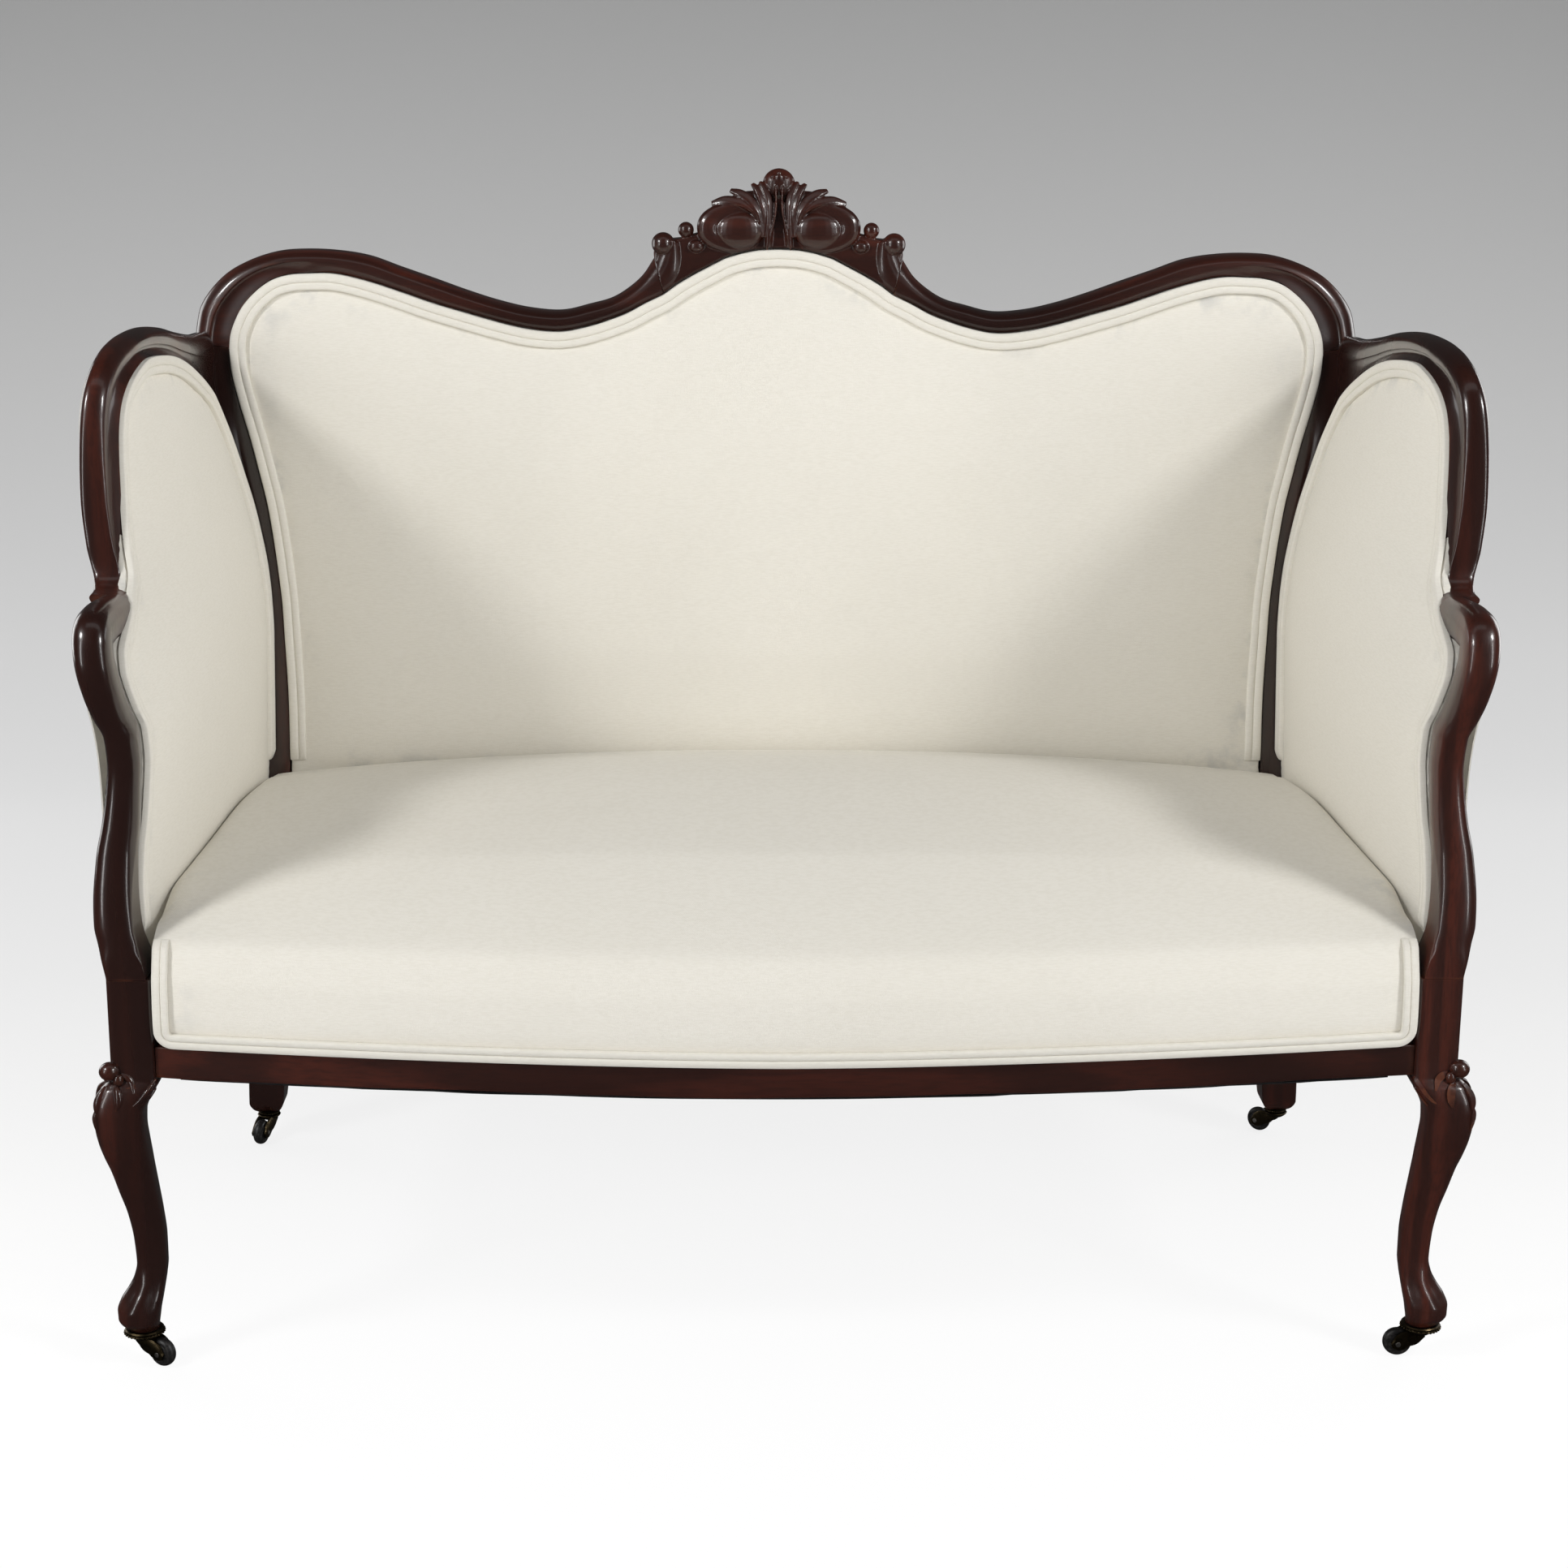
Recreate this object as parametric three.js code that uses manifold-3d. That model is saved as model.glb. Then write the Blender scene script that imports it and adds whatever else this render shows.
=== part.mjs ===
import * as THREE from 'three';
import { mergeVertices } from 'three/addons/utils/BufferGeometryUtils.js';
import Module from 'manifold-3d';

const wasm = await Module();
wasm.setup();

// Driving dimensions in millimetres
const overallHeight = 1018;
const backHalfWidth = 588;
const legAxisHalf = 566;
const backDepth = 490;
const backRakeShare = 0.12;
const railBottom = 271;
const showWood = 28;
const railHeight = 74;
const railThickness = 30;
const railRebate = 10;
const frontBow = 54;
const frontBowPower = 1.6;
const railSetBack = 5;
const legBlock = 38.6;
const blockRise = 16;
const armTop = 679;
const wingTop = 884;
const sideFrameThickness = 30;
const backFrameThickness = 36;
const rearLegSweep = 23;
const rearLegFoot = 33;
const rearLegTaper = 12;
const rakeHeight = 400;
const crestThickness = 30;
const crestBevel = 1.5;
const rearRailSetBack = 4;
const tackingRailBottom = 395;
const tackingRailHeight = 30;
const tackingRailGap = 2;
const cornerBlockLeg = 55;
const cornerBlockBottom = 282;
const cornerBlockHeight = 45;
const seam = 0.3;

// Upholstery sizes
const seatCrownHeight = 91;
const seatCentreRise = 27;
const seatNose = 6;
const seatFaceSwell = 3;
const seatCrownPower = 2.2;
const backCrown = 20;
const sideCrown = 16;
const padDepth = 12;
const pipingWidth = 16;
const pipingHeight = 7;
const clothThickness = 1.4;
const webbingThickness = 2;
const webbingWidth = 50;
const webbingPitch = 120;
const coverThickness = 3;
const coverLap = 8;
const coverStandOff = 1.2;
const backCoverBulge = 4;
const sideCoverBulge = 12;
const backPadBottom = 402;
const sidePipingFoot = 392;
const rearPipingFoot = 426;
const backPipingFoot = 424;
const pipingCorner = 22;
const webbingLap = 16;

// Seat springs
const springWire = 3.6;
const springEndDiameter = 84;
const springWaistDiameter = 52;
const springTurns = 3.5;
const springColumnPitch = 240;
const springRowPitch = 180;
const springFirstRow = 165;

// Castors
const wheelDiameter = 26.6;
const wheelThickness = 10;
const castorTrail = 20;
const frontPlateDiameter = 37;
const rearPlateDiameter = 22;
const plateThickness = 5;
const stemDiameter = 6;
const axleDiameter = 3.5;
const cheekThickness = 2.2;
const hornHeadRadius = 7.4;
const hornHeadHeight = 5;
const runningGap = 0.7;
const castorOffset = 4.5;
const castorAngles = { front_left: -30, front_right: 176, rear_left: -107, rear_right: 139 };

// Counts of steps and sides
const topRailSteps = 24;
const wingSteps = 20;
const armSteps = 20;
const armSides = 12;
const legSides = 12;
const bowSteps = 16;
const cornerSteps = 4;
const coverWingStart = 3;
const wheelSides = 14;
const castorSides = 10;
const springSteps = 8;
const springSides = 3;
const springRows = 2;
const springColumns = 4;

// Datum heights that follow from the driving dimensions
const railTop = railBottom + railHeight;
const legTop = railTop + blockRise;
const halfBlock = legBlock / 2;
const halfSide = sideFrameThickness / 2;
const halfBack = backFrameThickness / 2;

// Finishes
const mahogany = new THREE.MeshStandardMaterial({ color: 0x2a0f0b, roughness: 0.28, metalness: 0 });
const beech = new THREE.MeshStandardMaterial({ color: 0xb98f5f, roughness: 0.7, metalness: 0 });
const ivory = new THREE.MeshStandardMaterial({ color: 0xe9e4d4, roughness: 0.9, metalness: 0 });
const jute = new THREE.MeshStandardMaterial({ color: 0x9c7f52, roughness: 0.95, metalness: 0 });
const blackCloth = new THREE.MeshStandardMaterial({ color: 0x1c1a19, roughness: 0.95, metalness: 0 });
const brass = new THREE.MeshStandardMaterial({ color: 0x6d5127, roughness: 0.4, metalness: 0.9 });
const steel = new THREE.MeshStandardMaterial({ color: 0x8a8a88, roughness: 0.4, metalness: 0.9 });
const composition = new THREE.MeshStandardMaterial({ color: 0x15100e, roughness: 0.25, metalness: 0 });

// Mid line of each side frame: share of height, then share of the leg axis at the front and of
// the back's half width at the rear
const sideFrontShares = [
  [0.355, 1.000], [0.383, 1.006], [0.398, 1.011], [0.426, 1.013], [0.455, 1.011], [0.483, 1.005],
  [0.511, 1.001], [0.539, 0.996], [0.567, 0.999], [0.594, 1.012], [0.622, 1.024], [0.649, 1.030],
  [0.678, 1.046], [0.707, 1.058], [0.747, 1.067], [0.806, 1.067], [0.855, 1.058],
];
const sideRearShares = [
  [0.295, 0.903], [0.546, 0.903], [0.579, 0.906], [0.611, 0.912], [0.643, 0.922], [0.675, 0.934],
  [0.706, 0.947], [0.739, 0.959], [0.771, 0.969], [0.803, 0.974], [0.843, 0.974],
];

// Back post from the foot up: share of height, outer and inner share of the half width
const postShares = [
  [0.118, 0.944, 0.879], [0.266, 0.930, 0.862], [0.339, 0.923, 0.855], [0.393, 0.920, 0.849],
  [0.481, 0.920, 0.848], [0.546, 0.921, 0.853], [0.579, 0.923, 0.856], [0.611, 0.929, 0.862],
  [0.643, 0.937, 0.869], [0.675, 0.946, 0.878], [0.707, 0.957, 0.891], [0.739, 0.971, 0.905],
  [0.771, 0.985, 0.921], [0.803, 0.997, 0.934],
];
const postFootShares = [0.951, 0.889];
const postProfileShares = [
  [0.00, -0.90], [0.05, -1.00], [0.95, -1.00], [1.00, -0.90], [1.00, 1.00], [0.00, 1.00],
];
const postFootTaperShares = [[0.00, 0.58], [0.40, 0.82], [1.00, 1.00]];

// Top rail from the post to the scroll: outer and inner points, shares of half width and height
const topRailShares = [
  [0.999, 0.830, 0.937, 0.825], [0.995, 0.847, 0.935, 0.837], [0.988, 0.864, 0.927, 0.851],
  [0.969, 0.881, 0.913, 0.866], [0.940, 0.897, 0.889, 0.881], [0.901, 0.909, 0.861, 0.892],
  [0.854, 0.917, 0.830, 0.897], [0.811, 0.919, 0.803, 0.898], [0.757, 0.918, 0.757, 0.898],
  [0.701, 0.913, 0.701, 0.891], [0.646, 0.902, 0.646, 0.881], [0.590, 0.891, 0.590, 0.870],
  [0.536, 0.880, 0.536, 0.861], [0.480, 0.870, 0.480, 0.852], [0.425, 0.863, 0.425, 0.845],
  [0.369, 0.861, 0.369, 0.843], [0.323, 0.867, 0.318, 0.849], [0.286, 0.873, 0.286, 0.855],
  [0.259, 0.882, 0.259, 0.861], [0.233, 0.895, 0.230, 0.870], [0.213, 0.912, 0.197, 0.879],
];

// Crest: lower edge along the panel, then the carved outline from the scroll to the crown
const crestLowerShares = [
  [0.173, 0.889], [0.146, 0.898], [0.119, 0.906], [0.092, 0.914], [0.063, 0.919], [0.036, 0.922],
];
const crestMiddleShare = 0.923;
const crestUpperShares = [
  [0.212, 0.9145], [0.217, 0.927], [0.211, 0.935], [0.197, 0.939], [0.173, 0.937], [0.165, 0.944],
  [0.158, 0.946], [0.150, 0.944], [0.144, 0.942], [0.136, 0.944], [0.127, 0.955], [0.113, 0.963],
  [0.116, 0.968], [0.105, 0.972], [0.086, 0.976], [0.085, 0.980], [0.066, 0.981], [0.049, 0.979],
  [0.046, 0.987], [0.030, 0.986], [0.027, 0.991], [0.019, 0.997], [0.010, 0.999],
];

// Wing rail from the arm round to the post: outer and inner points as shares of the side
// depth and of the rise from arm to wing top
const wingShares = [
  [0.138, 0.000, 0.138, -0.166], [0.169, 0.015, 0.178, -0.161], [0.191, 0.068, 0.235, -0.117],
  [0.196, 0.200, 0.253, 0.054], [0.202, 0.395, 0.257, 0.273], [0.215, 0.629, 0.264, 0.517],
  [0.242, 0.834, 0.290, 0.737], [0.327, 0.961, 0.349, 0.849], [0.433, 1.000, 0.426, 0.898],
  [0.532, 1.005, 0.523, 0.888], [0.650, 0.976, 0.633, 0.844], [0.771, 0.922, 0.752, 0.751],
  [0.890, 0.878, 0.872, 0.605],
];
const wingEndShares = [0.863, 0.356];

// Arm support and knuckle: depth as share of the leg block, height as share of the rise from
// leg top to arm top, then width and depth of the section as shares of the leg block
const armShares = [
  [0.000, 0.000, 1.000, 1.000], [0.026, 0.091, 1.062, 1.036], [0.155, 0.217, 0.959, 0.984],
  [0.363, 0.343, 0.868, 0.933], [0.492, 0.469, 0.751, 0.881], [0.492, 0.579, 0.712, 0.855],
  [0.311, 0.689, 0.738, 0.881], [0.052, 0.789, 0.829, 0.959], [-0.026, 0.871, 0.829, 0.984],
  [0.181, 0.928, 0.829, 0.959], [0.777, 0.947, 0.829, 0.907], [1.930, 0.947, 0.777, 0.881],
];

// Cabriole leg: share of the rail height above the floor, outer and inner reach as shares of
// half the block, squareness of the section
const legShares = [
  [1.059, 1.000, 1.000, 8.0], [1.037, 1.295, 1.000, 5.0], [1.0045, 1.451, 1.000, 4.0],
  [0.998, 1.470, 1.000, 4.0],
  [0.996, 1.477, 1.399, 4.0], [0.970, 1.554, 1.036, 3.6], [0.923, 1.699, 0.544, 3.4],
  [0.886, 1.710, 0.347, 3.2], [0.841, 1.658, 0.311, 3.0], [0.793, 1.554, 0.352, 3.0],
  [0.738, 1.347, 0.415, 3.0], [0.683, 1.114, 0.482, 2.8], [0.609, 0.870, 0.580, 2.6],
  [0.517, 0.565, 0.710, 2.6], [0.428, 0.399, 0.793, 2.6], [0.343, 0.363, 0.788, 2.6],
  [0.295, 0.518, 0.715, 2.6], [0.262, 0.756, 0.642, 2.6], [0.225, 1.088, 0.560, 2.6],
  [0.188, 1.259, 0.466, 2.6], [0.162, 1.233, 0.415, 2.4], [0.148, 1.088, 0.378, 2.2],
  [0.135, 0.829, 0.363, 2.2],
];
const legFootShares = [0.803, 0.363, 2.0];
const blockSquareness = 8;
const armSquareness = 2.8;
const armBlendShare = 0.15;

// Moulded sections: place across the rail, then height as share of half the thickness
const railProfileShares = [
  [0.00, 0.35], [0.00, -0.35], [0.12, -0.85], [0.36, -1.10], [0.58, -0.90], [0.66, -0.72],
  [0.98, -0.62], [1.00, -0.45], [1.00, 1.00], [0.15, 1.00],
];
const wingProfileShares = [
  [0.00, 0.40], [0.00, -0.35], [0.12, -0.80], [0.36, -1.00], [0.56, -0.85], [0.66, -0.95],
  [1.00, -0.80], [1.00, 0.80], [0.50, 1.00], [0.14, 0.85],
];
const pipingProfileShares = [[0.00, 0.00], [0.22, 1.00], [0.50, 0.50], [0.78, 1.00], [1.00, 0.00]];

// Seat side line: share of the seat depth, share of the crown height
const seatLineShares = [
  [0.00, 0.30], [0.05, 0.49], [0.13, 0.66], [0.25, 0.80], [0.42, 0.93], [0.62, 1.00],
  [0.82, 0.92], [0.93, 0.78], [1.00, 0.74],
];
const seatRollShare = 0.25;
const seatFaceShares = [[0.00, 0.50], [0.35, -1.00], [0.75, -0.33], [1.00, 1.60]];

// Crown of a padded panel from its margin to its centre: share of the way in, share of the rise
const crownShares = [[0.09, 0.50], [0.24, 0.80], [0.55, 0.96]];
const coverCrownShares = [[0.14, 0.45], [0.45, 0.88]];
const backRingShare = 0.35;
const backCentreShare = 0.64;
const sideCentreShares = [0.55, 0.605];

// Castor shapes
const hornBossShare = 2.4;
const wheelShoulderShare = 0.86;
const wheelTreadShare = 0.55;

// Numbers read from a table of rows sorted by their first value
function valueAt(rows, key, column = 1) {
  if (key <= rows[0][0]) return rows[0][column];
  for (let i = 1; i < rows.length; i += 1) {
    if (key <= rows[i][0]) {
      const part = (key - rows[i - 1][0]) / (rows[i][0] - rows[i - 1][0]);
      return THREE.MathUtils.lerp(rows[i - 1][column], rows[i][column], part);
    }
  }
  return rows[rows.length - 1][column];
}

// Smooth curve through flat points, sampled at even parameter steps
function smooth(points, count) {
  const places = points.map(([a, b]) => new THREE.Vector3(a, b, 0));
  const curve = new THREE.CatmullRomCurve3(places, false, 'centripetal');
  return curve.getPoints(count).map((p) => [p.x, p.y]);
}

function signedArea(points) {
  return THREE.ShapeUtils.area(points.map(([a, b]) => new THREE.Vector2(a, b)));
}

// Outline moved inwards by a distance, corner by corner
function inset(points, distance) {
  const turn = Math.sign(signedArea(points));
  const count = points.length;
  return points.map(([a, b], i) => {
    const before = points[(i + count - 1) % count];
    const after = points[(i + 1) % count];
    const first = new THREE.Vector2(a - before[0], b - before[1]).normalize();
    const second = new THREE.Vector2(after[0] - a, after[1] - b).normalize();
    const along = first.clone().add(second).normalize();
    const stretch = 1 / Math.max(along.dot(first), Math.SQRT1_2);
    return [a - turn * along.y * distance * stretch, b + turn * along.x * distance * stretch];
  });
}

function volumeOf(positions, index) {
  const [a, b, c] = [new THREE.Vector3(), new THREE.Vector3(), new THREE.Vector3()];
  let volume = 0;
  for (let i = 0; i < index.length; i += 3) {
    a.fromArray(positions, index[i] * 3);
    b.fromArray(positions, index[i + 1] * 3);
    c.fromArray(positions, index[i + 2] * 3);
    volume += a.dot(b.cross(c)) / 6;
  }
  return volume;
}

// Flat end faces of a ring, wound the way the ring runs
function capTriangles(ring) {
  const normal = new THREE.Vector3();
  ring.forEach((p, i) => {
    const q = ring[(i + 1) % ring.length];
    normal.x += (p.y - q.y) * (p.z + q.z);
    normal.y += (p.z - q.z) * (p.x + q.x);
    normal.z += (p.x - q.x) * (p.y + q.y);
  });
  normal.normalize();
  const across = Math.abs(normal.x) < Math.SQRT1_2 ? new THREE.Vector3(1, 0, 0) : new THREE.Vector3(0, 1, 0);
  across.cross(normal).normalize();
  const up = normal.clone().cross(across);
  const flat = ring.map((p) => new THREE.Vector2(p.dot(across), p.dot(up)));
  return THREE.ShapeUtils.triangulateShape(flat, []).map(([a, b, c]) => {
    const turn = flat[b].clone().sub(flat[a]).cross(flat[c].clone().sub(flat[a]));
    return turn > 0 ? [a, b, c] : [a, c, b];
  });
}

// Closed body from a row of rings; a ring of one point is a tip, and a looped row has no ends
function ringBody(rings, looped = false) {
  const positions = [];
  const starts = rings.map((ring) => {
    const start = positions.length / 3;
    ring.forEach((p) => positions.push(p.x, p.y, p.z));
    return start;
  });
  const index = [];
  const bands = looped ? rings.length : rings.length - 1;
  for (let r = 0; r < bands; r += 1) {
    const next = (r + 1) % rings.length;
    const [here, there] = [rings[r].length, rings[next].length];
    for (let i = 0; i < Math.max(here, there); i += 1) {
      const j = (i + 1) % Math.max(here, there);
      const a = starts[r] + (here === 1 ? 0 : i);
      const b = starts[r] + (here === 1 ? 0 : j);
      const c = starts[next] + (there === 1 ? 0 : j);
      const d = starts[next] + (there === 1 ? 0 : i);
      if (here > 1) index.push(a, b, there > 1 ? c : d);
      if (there > 1) index.push(a, c, d);
    }
  }
  if (!looped) {
    const last = rings.length - 1;
    const end = starts[last];
    if (rings[0].length > 1) {
      capTriangles(rings[0]).forEach(([a, b, c]) => index.push(a, c, b));
    }
    if (rings[last].length > 1) {
      capTriangles(rings[last]).forEach(([a, b, c]) => index.push(end + a, end + b, end + c));
    }
  }
  if (volumeOf(positions, index) < 0) {
    for (let i = 0; i < index.length; i += 3) [index[i + 1], index[i + 2]] = [index[i + 2], index[i + 1]];
  }
  const geometry = new THREE.BufferGeometry();
  geometry.setAttribute('position', new THREE.Float32BufferAttribute(positions, 3));
  geometry.setIndex(index);
  return geometry;
}

// Upright prism over a flat outline in plan
function planPrism(outline, low, high) {
  return ringBody([low, high].map((z) => outline.map(([x, y]) => new THREE.Vector3(x, y, z))));
}

// Rail between two edge curves: a moulded section is stretched from the outer to the inner edge
function bandBody(outer, inner, profile, halfThickness, place, looped = false) {
  const rings = outer.map(([a, b], k) => profile.map(([across, height]) => place(
    THREE.MathUtils.lerp(a, inner[k][0], across),
    THREE.MathUtils.lerp(b, inner[k][1], across),
    height * halfThickness,
  )));
  return ringBody(rings, looped);
}

// Round-cornered section: half sizes, squareness, number of points
function roundedSection(halfWidth, halfDepth, squareness, count) {
  return Array.from({ length: count }, (_, i) => {
    const angle = ((i + 1 / 2) / count) * Math.PI * 2;
    const shape = (value) => Math.sign(value) * Math.abs(value) ** (2 / squareness);
    return [halfWidth * shape(Math.cos(angle)), halfDepth * shape(Math.sin(angle))];
  });
}

// Tube of a few sides along a list of points
function wireBody(points, radius, sides) {
  let across = new THREE.Vector3(0, 0, 1);
  const rings = points.map((p, i) => {
    const before = points[Math.max(i - 1, 0)];
    const after = points[Math.min(i + 1, points.length - 1)];
    const along = after.clone().sub(before).normalize();
    across = across.clone().addScaledVector(along, -across.dot(along)).normalize();
    const up = along.clone().cross(across);
    return Array.from({ length: sides }, (_, s) => {
      const angle = (s / sides) * Math.PI * 2;
      const turn = across.clone().multiplyScalar(Math.cos(angle)).addScaledVector(up, Math.sin(angle));
      return p.clone().addScaledVector(turn, radius);
    });
  });
  return ringBody(rings);
}

// Solids for joining and cutting
function toSolid(geometry) {
  const bare = geometry.clone();
  bare.deleteAttribute('normal');
  bare.deleteAttribute('uv');
  const merged = mergeVertices(bare);
  return new wasm.Manifold(new wasm.Mesh({
    numProp: 3,
    vertProperties: Float32Array.from(merged.attributes.position.array),
    triVerts: Uint32Array.from(merged.index.array),
  }));
}

function toGeometry(solid) {
  const mesh = solid.getMesh();
  const geometry = new THREE.BufferGeometry();
  geometry.setAttribute('position', new THREE.Float32BufferAttribute(mesh.vertProperties, 3));
  geometry.setIndex(Array.from(mesh.triVerts));
  return geometry;
}

function joined(geometries) {
  return toGeometry(geometries.map(toSolid).reduce((whole, piece) => whole.add(piece)));
}

function cut(geometry, cutters) {
  return toGeometry(cutters.map(toSolid).reduce((whole, piece) => whole.subtract(piece), toSolid(geometry)));
}

// Mid line of a side frame, and points set off from it: a positive offset lies outwards
function sideMiddle(y, z) {
  const share = z / overallHeight;
  const front = legAxisHalf * valueAt(sideFrontShares, share);
  const rear = backHalfWidth * valueAt(sideRearShares, share);
  return THREE.MathUtils.lerp(front, rear, y / backDepth);
}

function onSide(side) {
  return (y, z, offset) => new THREE.Vector3(side * (sideMiddle(y, z) + offset), y, z);
}

// Raked front plane of the back frame; below the rake the post sweeps back to its foot
function backFront(z) {
  if (z >= rakeHeight) return backDepth + backRakeShare * (z - rakeHeight);
  return backDepth + rearLegSweep * ((rakeHeight - z) / (rakeHeight - rearLegFoot)) ** 2;
}

// Heights of the rear edge of a side, where its mid line bends and where the rake begins
function rearLevels(high, low) {
  const bends = [rakeHeight, ...sideRearShares.map(([share]) => share * overallHeight)];
  const between = bends.filter((z) => z < high - halfSide && z > low).sort((a, b) => b - a);
  return [high, ...between, low];
}

function onBack(x, z, offset) {
  return new THREE.Vector3(x, backFront(z) + offset, z);
}

function onBackFrame(x, z, offset) {
  return onBack(x, z, offset + halfBack);
}

// Bowed front line of the seat rail in plan
const railHalf = legAxisHalf - halfBlock - seam;
function railFront(x) {
  const share = Math.min(Math.abs(x) / railHalf, 1);
  return railSetBack - halfBlock - frontBow * (1 - share ** frontBowPower);
}

const bowStations = Array.from({ length: bowSteps + 1 }, (_, i) => (2 * i) / bowSteps - 1);

function mirrored(outline, side) {
  return outline.map(([a, b]) => [side * a, b]);
}

// Edge curves of the back frame on one side, outer and inner
const backPoint = ([x, z]) => [x * backHalfWidth, z * overallHeight];
const topRailOuter = smooth(topRailShares.map(backPoint), topRailSteps);
const topRailInner = smooth(topRailShares.map((row) => backPoint(row.slice(2))), topRailSteps);
const postEnd = (edge) => [edge[0][0], edge[0][1] - seam];
const postRow = (column) => [
  [postFootShares[column - 1] * backHalfWidth, rearLegFoot],
  ...postShares.map((row) => [row[column] * backHalfWidth, row[0] * overallHeight]),
];
const postOuter = [...postRow(1), postEnd(topRailOuter)];
const postInner = [...postRow(2), postEnd(topRailInner)];
const crestLower = crestLowerShares.map(backPoint);
const crestMiddle = [0, crestMiddleShare * overallHeight];
const crestUpper = crestUpperShares.map(backPoint);

// Edge curves of the wing rail in the plane of the side frame
const wingRise = wingTop - armTop;
const sideDepth = backFront(armTop + wingEndShares[0] * wingRise);
const wingPoint = (y, z) => [y * sideDepth, armTop + z * wingRise];
const wingFoot = (share) => {
  const z = armTop + share * wingRise;
  return [backFront(z) - seam, z];
};
const wingEdge = (column) => {
  const points = wingShares.map((row) => wingPoint(row[2 * column], row[2 * column + 1]));
  return smooth([...points, wingFoot(wingEndShares[column])], wingSteps);
};
const wingOuter = wingEdge(0);
const wingInner = wingEdge(1);

// Arm support: centre line in the plane of the side frame with the section at each station
const armRows = armShares.map(([y, z, width, depth]) => [
  y * legBlock, legTop + seam + z * (armTop - legTop - seam), width * legBlock, depth * legBlock,
]);
armRows[armRows.length - 1][0] = wingOuter[0][0] - seam;
const armLine = smooth(armRows, armSteps);
const armStations = armLine.map(([y, z], k) => {
  const before = armLine[Math.max(k - 1, 0)];
  const after = armLine[Math.min(k + 1, armSteps)];
  const along = new THREE.Vector2(after[0] - before[0], after[1] - before[1]).normalize();
  if (k === 0) along.set(0, 1);
  if (k === armSteps) along.set(1, 0);
  const place = (k / armSteps) * (armRows.length - 1);
  const row = Math.min(Math.floor(place), armRows.length - 2);
  const size = (column) => THREE.MathUtils.lerp(armRows[row][column], armRows[row + 1][column], place - row);
  return { y, z, inward: [along.y, -along.x], width: size(2), depth: size(3), start: k / armSteps };
});
const armInner = armStations.map(({ y, z, inward, depth }) => (
  [y + inward[0] * (depth / 2), z + inward[1] * (depth / 2)]
));

function makeArmSupport(side) {
  return ringBody(armStations.map(({ y, z, inward, width, depth, start }) => {
    const blend = Math.min(start / armBlendShare, 1);
    const squareness = THREE.MathUtils.lerp(blockSquareness, armSquareness, blend);
    const middle = sideMiddle(y, z);
    const section = roundedSection(width / 2, depth / 2, squareness, armSides);
    return section.map(([across, reach]) => new THREE.Vector3(
      side * (middle + across), y + inward[0] * reach, z + inward[1] * reach,
    ));
  }));
}

// Heights of the castor stack, from the floor up
const wheelSideAngle = Math.PI / wheelSides;
const wheelCentre = (wheelDiameter / 2) * Math.cos(wheelSideAngle);
const plateBottom = wheelDiameter + runningGap;
const plateTop = plateBottom + plateThickness;
const footBottom = plateTop + seam;
const rearAxis = new THREE.Vector2(
  backHalfWidth * (postFootShares[0] + postFootShares[1]) / 2,
  backDepth + rearLegSweep + halfBack,
);

// Cabriole front leg, square block above and scrolled toe below
function makeFrontLeg(side) {
  const section = (z, outer, inner, squareness) => {
    const centre = (outer - inner) / 2;
    const half = (outer + inner) / 2;
    return roundedSection(half, half, squareness, legSides).map(([across, reach]) => new THREE.Vector3(
      side * (legAxisHalf + centre + across), reach - centre, z,
    ));
  };
  const rows = legShares.map(([z, outer, inner, squareness]) => (
    section(z * railBottom, outer * halfBlock, inner * halfBlock, squareness)
  ));
  const [outer, inner, squareness] = legFootShares;
  return ringBody([
    section(legTop, halfBlock, halfBlock, blockSquareness),
    ...rows,
    section(footBottom, outer * halfBlock, inner * halfBlock, squareness),
  ]);
}

// Back post and rear leg in one piece
function makeBackPost(side) {
  const rows = postOuter.map((outer, k) => postProfileShares.map(([across, height]) => onBackFrame(
    side * THREE.MathUtils.lerp(outer[0], postInner[k][0], across),
    THREE.MathUtils.lerp(outer[1], postInner[k][1], across),
    height * halfBack,
  )));
  const foot = postFootTaperShares.map(([rise, share]) => rows[0].map((p) => new THREE.Vector3(
    THREE.MathUtils.lerp(side * rearAxis.x, p.x, share),
    THREE.MathUtils.lerp(rearAxis.y, p.y, share),
    footBottom + rise * rearLegTaper,
  )));
  return ringBody([...foot, ...rows.slice(1)]);
}

function makeTopRail(side, forward = 0) {
  const place = (x, z, offset) => onBackFrame(x, z, offset - forward);
  const [outer, inner] = [topRailOuter, topRailInner].map((edge) => mirrored(edge, side));
  return bandBody(outer, inner, railProfileShares, halfBack, place);
}

// Carved crest between the two rail scrolls, as a bevelled plate with its outline
function makeCrest() {
  const end = topRailInner.length - 1;
  const clear = ([x, z]) => [x - 2 * seam, z];
  const half = [...crestLower].reverse();
  const right = [...half, clear(topRailInner[end]), clear(topRailOuter[end]), ...crestUpper];
  const outline = [crestMiddle, ...right, [0, overallHeight], ...mirrored(right, -1).reverse()];
  const ring = (flat, offset) => flat.map(([x, z]) => onBack(x, z, offset));
  return ringBody([
    ring(outline, crestThickness), ring(outline, 0), ring(inset(outline, crestBevel), -crestBevel),
  ]);
}

function makeWingRail(side) {
  const rail = bandBody(wingOuter, wingInner, wingProfileShares, halfSide, onSide(side));
  return cut(rail, [makeTopRail(side, seam)]);
}

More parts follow.
